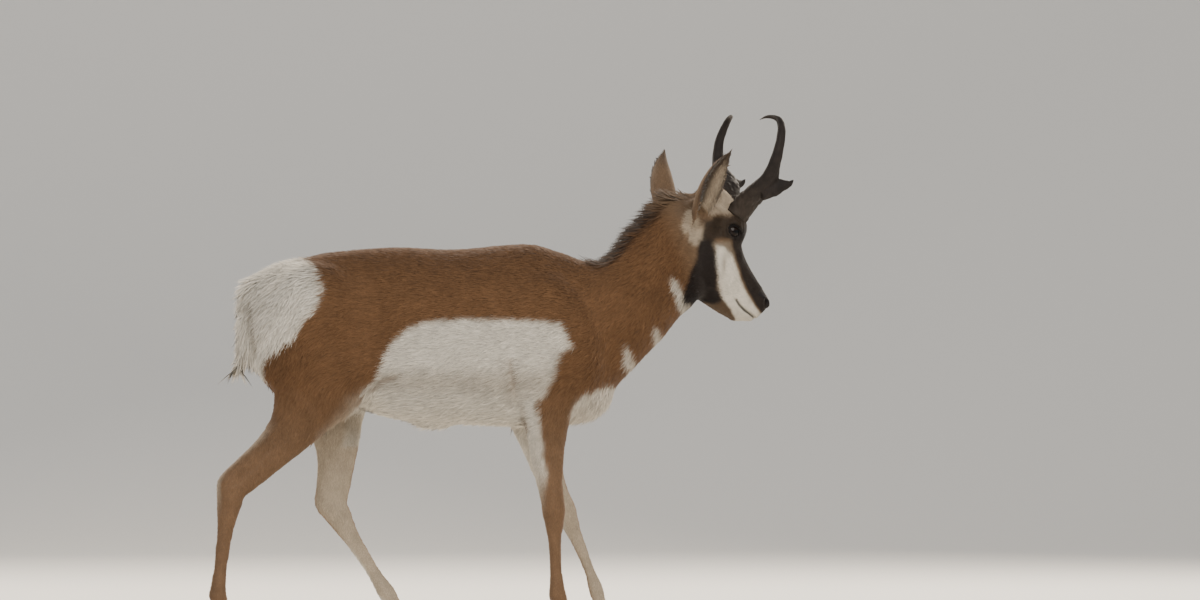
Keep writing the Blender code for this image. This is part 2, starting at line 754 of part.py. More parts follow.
def lid_ring(side, collection):
    """The rim of both lids: a round tube along the almond, on the eye's sphere."""
    steps, around = 20, 6
    way = almond(side, steps)
    centre = np.array(eye_centre(side))
    path = centre + way * (EYE_RADIUS + 0.6) * MM
    tangent = unit(np.roll(path, -1, axis=0) - np.roll(path, 1, axis=0))
    third = np.cross(tangent, way)
    spin = np.linspace(0, 2 * math.pi, around, endpoint=False)
    thick = LID_THICK * MM
    rings = (path[:, None, :] + way[:, None, :] * (np.cos(spin) * thick)[None, :, None]
             + third[:, None, :] * (np.sin(spin) * thick)[None, :, None])
    faces = []
    for i in range(steps):
        for j in range(around):
            k = (i + 1) % steps
            m = (j + 1) % around
            faces.append((i * around + j, i * around + m, k * around + m, k * around + j))
    obj = new_object("lids", rings.reshape(-1, 3), faces, collection)
    face_outward(obj)
    move_points(obj, bend)
    return obj


def mouth_cutter(side, collection):
    """A thin wedge that opens the line of the mouth along one side of the muzzle."""
    line = [(12, -44, 4), (0, -52, 16), (-18, -61, 24), (-38, -68, 30), (-58, -73, 36)]
    table = smooth_rows(line, 9)
    points = np.array([head_point(a, b, side * out) for a, b, out in table])
    outward = np.tile([0.0, side, 0.0], (len(points), 1)) + [0.25, 0, -0.1]
    way, out, third = path_frames(points, unit(outward))
    depth = 0.008
    width = 0.0016
    rings = np.stack([points + out * depth + third * width, points + out * depth - third * width,
                      points - out * depth * 0.35], axis=1)
    obj = tube("mouth cutter", rings, collection)
    move_points(obj, bend)
    return obj


def nostril_cutter(side, collection):
    obj = head_ball("nostril cutter", 4, -17, side * 22, (9, 8, 3.6), collection, 10, 6)
    move_points(obj, bend)
    return obj


def root_cut(name, path, place, size, side, collection):
    """A thin slab square to a path, so many steps along it, where an ear or horn is parted."""
    line = smooth_rows(path, 10 * (len(path) - 1) + 1) * [1, side, 1] * MM
    index = round(place * 10)
    way = unit(line[index + 1] - line[index - 1])
    turn = Vector(way).to_track_quat("Z", "Y").to_matrix().to_4x4()
    cutter = block(name, line[index], (size, size, GAP), collection, turn)
    move_points(cutter, swing)
    return cutter


def finish_head(head, parts, cutters):
    """Ears, horns, lids, eyes, mouth and nostrils; returns the nodes that come off it."""
    grown = []
    for side in (-1, 1):
        grown += [horn(side, parts), ear(side, parts)]
    combine_all(head, grown, "UNION", "MANIFOLD")
    combine_all(head, [eye_opening(s, parts) for s in (-1, 1)], "DIFFERENCE", "MANIFOLD")
    combine_all(head, [lid_ring(s, parts) for s in (-1, 1)], "UNION", "MANIFOLD")
    cuts = []
    for side in (-1, 1):
        cuts.append(root_cut("horn cut", HORN_PATH, HORN_ROOT, 0.085, side, cutters))
        cuts.append(root_cut("ear cut", EAR_PATH, EAR_ROOT, 0.075, side, cutters))
        cuts.append(mouth_cutter(side, cutters))
        cuts.append(nostril_cutter(side, cutters))
        cuts.append(eyeball("eye room", side, EYE_RADIUS + GAP / MM, cutters))
    combine_all(head, cuts, "DIFFERENCE", "MANIFOLD")
    nodes = separate(head, parts)
    for side, word in ((-1, "right"), (1, "left")):
        nodes["eye_" + word] = eyeball("eye_" + word, side, EYE_RADIUS, parts)
    return nodes


def separate(head, parts):
    """Loose pieces of the cut head, named by height and side."""
    work = bmesh.new()
    work.from_mesh(head.data)
    bmesh.ops.triangulate(work, faces=work.faces)
    pieces = sorted(islands(work), key=piece_volume, reverse=True)[:5]
    nodes = {}
    axis = bend([head_point(-200, 0)])[0]
    across = (-math.sin(BEND_ANGLE), math.cos(BEND_ANGLE))
    forward = (math.cos(BEND_ANGLE), math.sin(BEND_ANGLE))
    for rank, piece in enumerate(pieces):
        middle = sum((f.calc_center_median() for f in piece), Vector()) / len(piece)
        offset = (middle.x - axis[0], middle.y - axis[1])
        left = offset[0] * across[0] + offset[1] * across[1] > 0
        ahead = offset[0] * forward[0] + offset[1] * forward[1] > -0.02
        kind = "horn" if ahead else "ear"
        name = "head" if rank == 0 else kind + ("_left" if left else "_right")
        nodes[name] = piece_object(name, piece, parts)
    work.free()
    remove(head)
    return nodes


def piece_object(name, faces, collection):
    """One loose piece of a working mesh as an object of its own."""
    index = {}
    verts = []
    polygons = []
    for face in faces:
        for vert in face.verts:
            if vert.index not in index:
                index[vert.index] = len(verts)
                verts.append(tuple(vert.co))
        polygons.append([index[v.index] for v in face.verts])
    return new_object(name, verts, polygons, collection)


# Hooves and tail

def hoof(name, end, joints, side, collection):
    """A cloven hoof: a pointed sole that narrows up to the coronet, split in front."""
    x, z = joints[-1]
    toe = HOOF_TOE[end]
    levels = [(0.0, toe, HOOF_HEEL, HOOF_HALF_WIDTH), (0.45, toe * 0.78, HOOF_HEEL, HOOF_HALF_WIDTH),
              (1.0, 21, 22, 20)]
    turn = np.linspace(0, 2 * math.pi, 20, endpoint=False)
    rings = []
    for share, front, heel, wide in levels:
        reach = np.where(np.cos(turn) > 0, front, heel) * np.cos(turn)
        narrow = 1 - 0.38 * np.maximum(np.cos(turn), 0) ** 2
        slope = math.tan(CORONET_SLOPE) * reach * share
        height = HOOF_HEIGHT * share + slope
        ring = np.stack([x + reach, side + wide * np.sin(turn) * narrow, height], axis=1)
        rings.append(ring * MM)
    obj = tube(name, np.array(rings), collection)
    cleft = block("cleft", ((x + toe * 0.62) * MM, side * MM, 0.008),
                  (toe * 1.0 * MM, CLEFT_WIDTH * MM, 0.044), collection)
    combine(obj, cleft, "DIFFERENCE")
    keep_largest(obj)
    return obj


def trim_leg(leg, joints, side, cutters):
    """Cut a leg square across at the coronet, a gap above its hoof."""
    x, _ = joints[-1]
    turn = Matrix.Rotation(-CORONET_SLOPE, 4, "Y")
    depth = 0.12
    lift = HOOF_HEIGHT * MM + GAP
    centre = Vector((x * MM, side * MM, lift)) + turn @ Vector((0, 0, -depth / 2))
    cutter = block("coronet", centre, (0.16, 0.09, depth), cutters, turn)
    combine(leg, cutter, "DIFFERENCE")
    keep_largest(leg)


def tail_rings(extra=0.0, count=15, around=12):
    rows = [(*place, deep, wide) for place, deep, wide in TAIL]
    table = smooth_rows(rows, count)
    points = np.stack([table[:, 0], np.zeros(count), table[:, 1]], axis=1) * MM
    way, back, across = path_frames(points, np.array([[-1.0, 0.0, 0.05]]))
    points[0] -= way[0] * extra
    points[-1] += way[-1] * extra
    grow = extra / MM
    return ellipse_rings(points, across, back, (table[:, 2] + grow) * MM, (table[:, 3] + grow) * MM, around)


# Locks

def lock(root, way, out, sizes, draw, collection):
    """A flat lock: a diamond section that narrows along a curve off the surface.

    The curve starts sunk below the root, runs along the lie of the hair, lifts with the
    power 1.5 of its length and sways sideways with the square of it.
    """
    length, width, thick, lift, sink = (v * MM for v in sizes)
    vary = 1 + draw.uniform(-LOCK_SPREAD, LOCK_SPREAD)
    length *= vary
    way = unit(np.array(way) + np.array([draw.uniform(-1, 1) for _ in range(3)]) * LOCK_SPREAD)
    out = unit(np.array(out) - np.dot(out, way) * way)
    side = np.cross(way, out)
    s = np.array([0.0, 0.30, 0.62, 0.86])
    sway = draw.uniform(-1, 1) * 0.14 * length
    line = (np.array(root) + way * (length * s)[:, None] + side * (sway * s**2)[:, None]
            + out * (lift * s**1.5 - sink * (1 - s) ** 2)[:, None])
    tip = np.array(root) + way * length + side * sway + out * lift
    wide = width / 2 * np.array([0.75, 1.0, 0.80, 0.42])
    deep = thick / 2 * np.array([1.0, 1.0, 0.75, 0.40])
    rings = np.stack([line + side * wide[:, None], line + out * deep[:, None],
                      line - side * wide[:, None], line - out * deep[:, None]], axis=1)
    verts = np.vstack([rings.reshape(-1, 3), line[:1], tip[None]])
    obj = new_object("lock", verts, tube_faces(4, 4), collection)
    face_outward(obj)
    return obj


def surface_hit(tree, origin, way):
    """Where a ray meets a node, and the way its surface faces there."""
    place, normal, _, _ = tree.ray_cast(Vector(origin), Vector(way))
    return (np.array(place), np.array(normal)) if place is not None else (None, None)


def mane_locks(neck, collection):
    """Locks along the crest, pointing back to the withers."""
    draw = random.Random(SEED)
    tree = BVHTree.FromObject(neck, bpy.context.evaluated_depsgraph_get())
    start, end, steps = MANE_RUN
    locks = []
    for column in MANE_COLUMNS:
        for step in range(steps):
            x = start + (end - start) * (step + draw.uniform(0.1, 0.6)) / steps
            spots = bend(np.array([[x, column, 1200], [x - 20, column, 1200]]) * MM)
            root, out = surface_hit(tree, spots[0], (0, 0, -1))
            back, _ = surface_hit(tree, spots[1], (0, 0, -1))
            if root is None or back is None:
                continue
            locks.append(lock(root, unit(back - root), out, MANE_LOCK, draw, collection))
    return locks


def tail_locks(collection):
    """Locks round the back and sides of the tail, pointing down it."""
    draw = random.Random(SEED + 1)
    rows = [(*place, deep, wide) for place, deep, wide in TAIL]
    table = smooth_rows(rows, 101)
    line = np.stack([table[:, 0], np.zeros(101), table[:, 1]], axis=1) * MM
    way, back, across = path_frames(line, np.array([[-1.0, 0.0, 0.05]]))
    start, end, steps = TAIL_RUN
    locks = []
    for column in TAIL_COLUMNS:
        for step in range(steps):
            index = int(100 * (start + (end - start) * (step + draw.uniform(0, 0.6)) / steps))
            angle = math.radians(column)
            out = back[index] * math.cos(angle) + across[index] * math.sin(angle)
            reach = (back[index] * math.cos(angle) * table[index, 2]
                     + across[index] * math.sin(angle) * table[index, 3]) * MM
            size = list(TAIL_LOCK)
            size[0] = TAIL_LOCK[0] * (1 - 0.45 * step / steps)
            locks.append(lock(line[index] + reach, way[index], out, size, draw, collection))
    return locks


def rump_locks(torso, collection):
    """Locks over the pale patch of both buttocks, pointing down and back."""
    draw = random.Random(SEED + 2)
    tree = BVHTree.FromObject(torso, bpy.context.evaluated_depsgraph_get())
    locks = []
    (x0, z0), (x1, z1) = RUMP_FLANK
    for side in (-1, 1):
        for z in range(z1, RUMP_TOP, RUMP_STEP):
            for x in range(x1, x0 + 1, RUMP_STEP):
                floor = z0 + (z1 - z0) * (x - x0) / (x1 - x0)
                if z < floor + draw.uniform(0, 10):
                    continue
                spot = np.array([x + draw.uniform(-6, 6), side * 400, z + draw.uniform(-6, 6)]) * MM
                root, out = surface_hit(tree, spot, (0, -side, 0))
                if root is not None and abs(root[1]) > TAIL_CLEAR * MM:
                    way = unit(np.array([-0.45, side * 0.05, -0.9]) - out * 0.1)
                    locks.append(lock(root, way, out, RUMP_LOCK, draw, collection))
        for z in range(z1, RUMP_TOP - 45, RUMP_STEP):
            y = side * (TAIL_CLEAR + 14 + draw.uniform(-3, 3))
            root, out = surface_hit(tree, np.array([-900, y, z]) * MM, (1, 0, 0))
            if root is not None:
                way = unit(np.array([-0.1, side * 0.35, -1.0]))
                locks.append(lock(root, way, out, RUMP_LOCK, draw, collection))
    return locks


def grow_locks(node, locks):
    """Fuse the locks into their node."""
    heal(node)
    combine_all(node, locks, "UNION", "MANIFOLD")
    heal(node)
    keep_largest(node)


# Finish

def material(name):
    colour, rough = FINISH[name]
    mat = bpy.data.materials.get(name) or bpy.data.materials.new(name)
    mat.use_nodes = True
    shader = mat.node_tree.nodes["Principled BSDF"]
    shader.inputs["Base Color"].default_value = (*colour, 1.0)
    shader.inputs["Roughness"].default_value = rough
    shader.inputs["Metallic"].default_value = 0.0
    return mat


def finish_for(name):
    if name.startswith("horn"):
        return "horn"
    if name.startswith("hoof"):
        return "hoof"
    if name.startswith("eye"):
        return "eye"
    if name.startswith("tail"):
        return "white_coat"
    if name.startswith("head") or name.startswith("ear"):
        return "face_coat"
    return "tan_coat"


def set_down(nodes):
    """Move everything so that the origin lies under the middle of the bounding box."""
    corners = []
    for obj in nodes.values():
        flat = np.empty(len(obj.data.vertices) * 3)
        obj.data.vertices.foreach_get("co", flat)
        points = flat.reshape(-1, 3)
        corners += [points.min(axis=0), points.max(axis=0)]
    low = np.min(corners, axis=0)
    high = np.max(corners, axis=0)
    shift = np.array([(low[0] + high[0]) / 2, (low[1] + high[1]) / 2, low[2]])
    for obj in nodes.values():
        move_points(obj, lambda points: points - shift)
    print("size", [round(float(v), 4) for v in high - low], "shift", shift.round(4).tolist())


def build():
    for obj in list(bpy.data.objects):
        bpy.data.objects.remove(obj, do_unlink=True)
    parts = bpy.data.collections.new("pronghorn")
    cutters = bpy.data.collections.new("cutters")
    bpy.context.scene.collection.children.link(parts)
    bpy.context.scene.collection.children.link(cutters)

    body = melt(flesh_pieces(parts), "body", parts)
    fine = copy_of(body, "fine body", parts)
    thin_out(body, BODY_FACES)
    thin_out(fine, HEAD_FACES)
    nodes = split_body(body, parts, cutters)
    remove(nodes.pop("head"))
    fine_nodes = split_body(fine, parts, cutters)
    head = fine_nodes.pop("head")
    for spare in fine_nodes.values():
        remove(spare)

    combine(nodes["torso"], tube("tail room", tail_rings(GAP), cutters), "DIFFERENCE")
    keep_largest(nodes["torso"])
    nodes["tail"] = tube("tail", tail_rings(), parts)
    grow_locks(nodes["neck"], mane_locks(nodes["neck"], parts))
    grow_locks(nodes["tail"], tail_locks(parts))
    grow_locks(nodes["torso"], rump_locks(nodes["torso"], parts))
    for name, (_, side, joints) in LEGS.items():
        trim_leg(nodes["leg_" + name], joints, side, cutters)
        end = name.split("_")[0]
        nodes["hoof_" + name] = hoof("hoof_" + name, end, joints, side, parts)
    nodes.update(finish_head(head, parts, cutters))
    set_down(nodes)
    for name, obj in nodes.items():
        heal(obj)
        keep_largest(obj)
        obj.name = name
        obj.data.materials.clear()
        obj.data.materials.append(material(finish_for(name)))
        obj.data.shade_smooth()
    total = 0
    for name, obj in sorted(nodes.items()):
        count = sum(len(p.vertices) - 2 for p in obj.data.polygons)
        total += count
        print(name, count)
    print("triangles", total)


build()
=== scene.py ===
# %% [markdown]
# # A pronghorn, life size
# The solids under this file were built and packed before it, and they give every size. Here the
# animal gets one skin, a coat of hair, horns, eyes and hooves. A sculptor could push clay about
# until it looks right, and Blender's sculpt mode does the same. This animal is worked out from
# numbers instead, so that each size can be read, compared with the solids and changed in one
# place. Sizes are metres unless a name or a comment says mm. The animal faces +X, and its left
# side is at +Y.

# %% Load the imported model
import json
import math

import bmesh
import bpy
import numpy as np
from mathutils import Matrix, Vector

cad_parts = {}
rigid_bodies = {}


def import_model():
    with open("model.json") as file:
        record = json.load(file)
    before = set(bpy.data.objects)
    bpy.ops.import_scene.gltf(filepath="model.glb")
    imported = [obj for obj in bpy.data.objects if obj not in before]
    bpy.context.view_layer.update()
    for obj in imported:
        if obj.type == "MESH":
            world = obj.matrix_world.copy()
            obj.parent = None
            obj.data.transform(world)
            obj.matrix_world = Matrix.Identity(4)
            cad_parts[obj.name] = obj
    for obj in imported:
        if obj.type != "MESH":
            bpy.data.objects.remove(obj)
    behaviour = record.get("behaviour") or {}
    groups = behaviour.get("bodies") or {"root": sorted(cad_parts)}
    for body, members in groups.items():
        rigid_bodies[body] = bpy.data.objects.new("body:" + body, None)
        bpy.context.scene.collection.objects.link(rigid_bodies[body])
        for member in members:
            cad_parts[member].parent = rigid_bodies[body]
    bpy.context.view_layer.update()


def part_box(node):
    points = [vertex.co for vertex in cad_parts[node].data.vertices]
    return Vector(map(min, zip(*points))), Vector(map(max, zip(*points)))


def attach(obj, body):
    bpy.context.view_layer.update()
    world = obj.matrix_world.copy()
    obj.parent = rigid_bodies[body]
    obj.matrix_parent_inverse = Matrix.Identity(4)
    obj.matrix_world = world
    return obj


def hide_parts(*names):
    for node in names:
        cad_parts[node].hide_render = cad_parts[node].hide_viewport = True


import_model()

# %% [markdown]
# A real neck bends all along its length, so the head looks aside without a kink. A rig of bones
# could turn it. Here the body is worked out with its neck straight, which keeps left and right
# alike, and one bend then turns all that lies ahead of the chest. Points and directions take the
# same turn, so no rig has to be carried along.

# %% The turn of the neck
MM = 0.001
BEND_START, BEND_LENGTH, BEND_ANGLE = 0.2045, 0.160, math.radians(22)


def bend(points):
    """Turn what lies ahead of the chest to the left, evenly along the neck.

    Within the bend, a point's x becomes radius sin(angle) and its drift sideways is
    radius (1 - cos(angle)). Past it, the point runs straight on in the new direction.
    """
    points = np.atleast_2d(np.array(points, dtype=float))
    run = np.clip(points[:, 0] - BEND_START, 0, BEND_LENGTH)
    radius = BEND_LENGTH / BEND_ANGLE
    angle = run / radius
    ahead = np.maximum(points[:, 0] - BEND_START - BEND_LENGTH, 0)
    base = np.minimum(points[:, 0], BEND_START)
    out = points.copy()
    out[:, 0] = base + radius * np.sin(angle) + ahead * np.cos(angle) - points[:, 1] * np.sin(angle)
    out[:, 1] = radius * (1 - np.cos(angle)) + ahead * np.sin(angle) + points[:, 1] * np.cos(angle)
    return out


def turn_ways(points, ways):
    """Directions at places on the straight body, turned about Z by the angle of their place."""
    angle = np.clip(points[:, 0] - BEND_START, 0, BEND_LENGTH) / BEND_LENGTH * BEND_ANGLE
    cos, sin = np.cos(angle), np.sin(angle)
    out = ways.copy()
    out[:, 0] = ways[:, 0] * cos - ways[:, 1] * sin
    out[:, 1] = ways[:, 0] * sin + ways[:, 1] * cos
    return out


print("neck turned by", round(math.degrees(BEND_ANGLE)), "degrees over", BEND_LENGTH, "m")

# %% [markdown]
# A face is easier to measure along its bridge than from the floor, so the head has a frame of
# its own. In it a runs forward along the bridge from the nose tip, which makes it negative on
# the head, and b stands square to the bridge. An empty could carry this frame as a parent does;
# two formulas lead there and back and work on whole arrays.

# %% The frame of the head
NOSE = (653, 745)
FACE_SLOPE = math.radians(56)


def head_point(a, b, side=0):
    """A place on the head in mm as metres on the straight body: NOSE + a along + b square."""
    cos, sin = math.cos(FACE_SLOPE), math.sin(FACE_SLOPE)
    return ((NOSE[0] + a * cos + b * sin) * MM, side * MM, (NOSE[1] - a * sin + b * cos) * MM)


def head_frame(points):
    """The reverse: a and b in mm, by turning x and z back through the slope of the face."""
    x = points[:, 0] / MM - NOSE[0]
    z = points[:, 2] / MM - NOSE[1]
    cos, sin = math.cos(FACE_SLOPE), math.sin(FACE_SLOPE)
    return x * cos - z * sin, x * sin + z * cos


print("face slopes", round(math.degrees(FACE_SLOPE)), "degrees down from the nose at", NOSE, "mm")

# %% [markdown]
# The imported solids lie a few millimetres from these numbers, because packing centres the model.
# The offset could be typed in, but a typed number goes stale. It is measured instead: the middle
# of the right eye is known in both frames.

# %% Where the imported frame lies
# The eye's middle in the head's frame (a, b, sideways) and its radius, in mm.
EYE_AT = (-203, -15, 53)
EYE_RADIUS = 20.5


def shift_of_frame():
    """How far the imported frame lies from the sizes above, read from the right eye's place."""
    low, high = (np.array(corner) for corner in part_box("eye_right"))
    a, b, side = EYE_AT
    return bend([head_point(a, b, -side)])[0] - (low + high) / 2


SHIFT = shift_of_frame()
print("frame lies", SHIFT.round(4), "from the sizes")

# %% [markdown]
# Bodies have no straight lines and no sudden steps. A curve through a few measured rows gives
# round forms, an ease from zero to one blends them, and noise breaks up what would look too
# even. Blender has curves and textures for this. As formulas on arrays the same three also serve
# colours and directions, and give the same result on every run.

# %% Curves and noise
def smooth_rows(rows, count):
    """Rows of numbers carried on a Catmull-Rom curve and read at evenly spaced steps.

    Between rows 1 and 2 the value is the cubic whose slopes there are (p2 - p0)/2, (p3 - p1)/2.
    """
    table = np.array(rows, dtype=float)
    padded = np.vstack([2 * table[0] - table[1], table, 2 * table[-1] - table[-2]])
    place = np.linspace(0, len(table) - 1, count)
    index = np.minimum(place.astype(int), len(table) - 2)
    part = (place - index)[:, None]
    p0, p1, p2, p3 = (padded[index + k] for k in range(4))
    return 0.5 * (2 * p1 + (p2 - p0) * part + (2 * p0 - 5 * p1 + 4 * p2 - p3) * part**2
                  + (3 * p1 - p0 - 3 * p2 + p3) * part**3)


def unit(vectors):
    """Each vector divided by its length."""
    return vectors / np.maximum(np.linalg.norm(vectors, axis=-1, keepdims=True), 1e-9)


def ease_in(low, high, value):
    """Zero below low, one above high, 3t^2 - 2t^3 between."""
    part = np.clip((value - low) / (high - low), 0, 1)
    return part * part * (3 - 2 * part)


def noise(points, size, seed=0):
    """Smooth noise from -1 to 1: random values on a lattice, blended with 3t^2 - 2t^3.

    The value at a lattice corner is a hash of its three whole numbers and the seed.
    """
    place = points / size + 100.0
    cell = np.floor(place).astype(np.int64)
    part = place - cell
    part = part * part * (3 - 2 * part)
    total = np.zeros(len(points))
    for corner in range(8):
        step = np.array([corner & 1, corner >> 1 & 1, corner >> 2 & 1])
        key = (cell + step) @ np.array([73856093, 19349663, 83492791]) + seed * 1013
        key = (key ^ (key >> 13)) * 1274126177 & 0x7fffffff
        value = (key ^ (key >> 16)) % 65536 / 32767.5 - 1
        total += value * np.prod(np.where(step == 1, part, 1 - part), axis=1)
    return total


print("ease at a quarter and three quarters:", ease_in(0, 1, 0.25), ease_in(0, 1, 0.75))

# %% [markdown]
# Trunk, legs, horns and hooves are all tubes: closed rings of points joined one to the next.
# Blender's bevelled curves make tubes too, but with the same section all along. Rings from a
# formula may change their shape at each step.

# %% Closed tubes
def tube_faces(rings, around):
    """Quads between rings and a fan at each end, whose hubs follow the rings.

    Point j of ring i has the number i * around + j.
    """
    i, j = np.meshgrid(np.arange(rings - 1), np.arange(around), indexing="ij")
    here = i * around + j
    after = i * around + (j + 1) % around
    quads = np.stack([here, after, after + around, here + around], axis=-1).reshape(-1, 4)
    ring = np.arange(around)
    last = (rings - 1) * around
    hub = rings * around
    start = np.stack([ring, np.full(around, hub), (ring + 1) % around], axis=1)
    end = np.stack([last + ring, last + (ring + 1) % around, np.full(around, hub + 1)], axis=1)
    return quads, np.vstack([start, end])


def tube(rings):
    """A closed tube through rings of points: its points, quads and triangles.

    Each hub is the mean of its end ring.
    """
    count, around = rings.shape[:2]
    hubs = np.stack([rings[0].mean(axis=0), rings[-1].mean(axis=0)])
    quads, tris = tube_faces(count, around)
    return np.vstack([rings.reshape(-1, 3), hubs]), quads, tris


def join(parts):
    """Several sets of points, quads and triangles as one; the numbers of each move up by the
    points before it."""
    points, quads, tris, base = [], [], [], 0
    for p, q, t in parts:
        points.append(p)
        quads.append(np.reshape(q, (-1, 4)) + base)
        tris.append(np.reshape(t, (-1, 3)) + base)
        base += len(p)
    return np.vstack(points), np.vstack(quads), np.vstack(tris)


print("a tube of 3 rings of 8 has", sum(map(len, tube_faces(3, 8))), "faces")

# %% [markdown]
# A mesh holds points, corners and faces. It could be built face by face with bmesh, which is
# slow for half a million points. foreach_set hands over a whole array in one call. Colour is
# kept on the points as an attribute, which a material can read by name.

# %% Arrays into meshes and back
COAT_LAYER = "coat"


def make_mesh(name, points, quads, tris):
    """A Blender object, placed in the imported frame."""
    mesh = bpy.data.meshes.new(name)
    quads = np.reshape(quads, (-1, 4)).astype(np.int32)
    tris = np.reshape(tris, (-1, 3)).astype(np.int32)
    corners = np.concatenate([quads.ravel(), tris.ravel()])
    sizes = np.concatenate([np.full(len(quads), 4), np.full(len(tris), 3)])
    starts = np.concatenate([[0], np.cumsum(sizes)[:-1]]).astype(np.int32)
    mesh.vertices.add(len(points))
    mesh.vertices.foreach_set("co", (points - SHIFT).ravel().astype(np.float32))
    mesh.loops.add(len(corners))
    mesh.loops.foreach_set("vertex_index", corners)
    mesh.polygons.add(len(sizes))
    mesh.polygons.foreach_set("loop_start", starts)
    mesh.polygons.foreach_set("use_smooth", np.full(len(sizes), True))
    mesh.update(calc_edges=True)
    obj = bpy.data.objects.new(name, mesh)
    bpy.context.scene.collection.objects.link(obj)
    return obj


def read_mesh(mesh):
    """Points, quads and triangles of a mesh, back in the frame of the sizes."""
    points = np.empty(len(mesh.vertices) * 3, dtype=np.float32)
    mesh.vertices.foreach_get("co", points)
    corners = np.empty(len(mesh.loops), dtype=np.int32)
    mesh.loops.foreach_get("vertex_index", corners)
    starts = np.empty(len(mesh.polygons), dtype=np.int32)
    mesh.polygons.foreach_get("loop_start", starts)
    sizes = np.diff(np.append(starts, len(corners)))
    quads = corners[starts[sizes == 4][:, None] + np.arange(4)]
    tris = corners[starts[sizes == 3][:, None] + np.arange(3)]
    return points.reshape(-1, 3).astype(float) + SHIFT, quads, tris


def paint(obj, colours):
    """A colour for each point, kept as an attribute."""
    layer = obj.data.color_attributes.new(COAT_LAYER, "FLOAT_COLOR", "POINT")
    full = np.ones((len(obj.data.vertices), 4), dtype=np.float32)
    full[:, :3] = np.clip(colours, 0, 1)
    layer.data.foreach_set("color", full.ravel())


print("colours are kept in the attribute", COAT_LAYER)

# %% [markdown]
# Overlapping forms have to become one surface before hair can grow on it. A boolean union leaves
# a hard crease where two forms meet. The Remesh modifier's voxel mode rebuilds the outside on an
# even grid, and relaxing then draws each point towards the mean of its neighbours, which
# rounds the joins.

# %% Fusing, normals and smoothing
def remeshed(parts, voxel, name):
    """Overlapping closed forms fused on a fine grid."""
    obj = make_mesh(name, *join(parts))
    grid = obj.modifiers.new("Fuse", "REMESH")
    grid.mode = "VOXEL"
    grid.voxel_size = voxel
    graph = bpy.context.evaluated_depsgraph_get()
    mesh = bpy.data.meshes.new_from_object(obj.evaluated_get(graph))
    bpy.data.objects.remove(obj)
    result = read_mesh(mesh)
    bpy.data.meshes.remove(mesh)
    return result


def vertex_normals(points, quads, tris):
    """The direction that each point faces: the sum of its faces' cross products, made unit
    length. A large face has a long cross product and counts for more."""
    total = np.zeros_like(points)
    cross = np.cross(points[quads[:, 2]] - points[quads[:, 0]], points[quads[:, 3]] - points[quads[:, 1]])
    for k in range(4):
        for axis in range(3):
            total[:, axis] += np.bincount(quads[:, k], cross[:, axis], len(points))
    cross = np.cross(points[tris[:, 1]] - points[tris[:, 0]], points[tris[:, 2]] - points[tris[:, 0]])
    for k in range(3):
        for axis in range(3):
            total[:, axis] += np.bincount(tris[:, k], cross[:, axis], len(points))
    return unit(total)


def edges_of(quads, tris):
    """Each edge once, as a pair of point numbers with the smaller first."""
    pairs = np.vstack([quads[:, [0, 1]], quads[:, [1, 2]], quads[:, [2, 3]], quads[:, [3, 0]],
                       tris[:, [0, 1]], tris[:, [1, 2]], tris[:, [2, 0]]])
    return np.unique(np.sort(pairs, axis=1), axis=0)


def relax(points, edges, passes, weight):
    """Draw each point towards the mean of its neighbours.

    One pass adds half the weight times (mean of neighbours - point).
    """
    count = len(points)
    first, second = edges.T
    near = np.bincount(first, minlength=count) + np.bincount(second, minlength=count)
    for _ in range(passes):
        total = np.empty_like(points)
        for axis in range(3):
            column = points[:, axis]
            total[:, axis] = (np.bincount(first, column[second], count)
                              + np.bincount(second, column[first], count))
        points = points + 0.5 * weight * (total / np.maximum(near, 1)[:, None] - points)
    return points


print("helpers for fused surfaces are ready")

# %% [markdown]
# Under the hide, a pronghorn has a deep narrow chest, a tucked belly and a round croup. A box
# could be cut and pulled until it looks like that. A loft does it from sections: each row
# gives the heights of back and belly and half the width at one place along the body. The
# solids follow the same rows, so skin and solids agree.

# %% Sizes of trunk, neck and head, in mm
# x, back height, belly height, half width
TRUNK = [
    (-582, 742, 668, 32), (-566, 776, 618, 62), (-542, 814, 588, 86), (-500, 838, 566, 100),
    (-455, 846, 552, 108), (-386, 861, 528, 112), (-318, 867, 508, 114), (-227, 872, 482, 128),
    (-114, 866, 474, 139), (-23, 873, 469, 140), (68, 878, 466, 130), (136, 860, 468, 116),
    (205, 834, 486, 96), (250, 800, 540, 62),
]
# crest x, z, throat x, z, half width
NECK = [
    (100, 850, 170, 520, 92), (150, 850, 222, 520, 92), (210, 837, 285, 578, 82),
    (244, 846, 333, 626, 74), (274, 878, 374, 664, 68), (308, 918, 416, 708, 64),
    (353, 955, 457, 739, 61), (408, 992, 492, 782, 56),
]
# upper a, b, lower a, b, half width, in the head's frame
HEAD = [
    (9, -8, 15, -46, 12), (4, 3, 14, -62, 22), (-8, 7, 4, -77, 26), (-30, 6, -14, -96, 29),
    (-60, 4, -38, -114, 33), (-95, 3, -68, -129, 41), (-130, 6, -100, -144, 48),
    (-165, 17, -135, -156, 54), (-200, 34, -170, -160, 58), (-232, 40, -205, -148, 58),
    (-262, 30, -245, -122, 55), (-290, -2, -285, -96, 46),
]
print("sections of trunk, neck and head:", len(TRUNK), len(NECK), len(HEAD))

# %% [markdown]
# A leg is a chain of bones, with muscle round the upper ones and little but tendon and skin
# below. Its joints set the step that it takes. Its section is given by the place along the
# chain: 0 is the first joint, 1 the next. One table serves left and right, so the two legs stay
# alike while each stands in its own place.

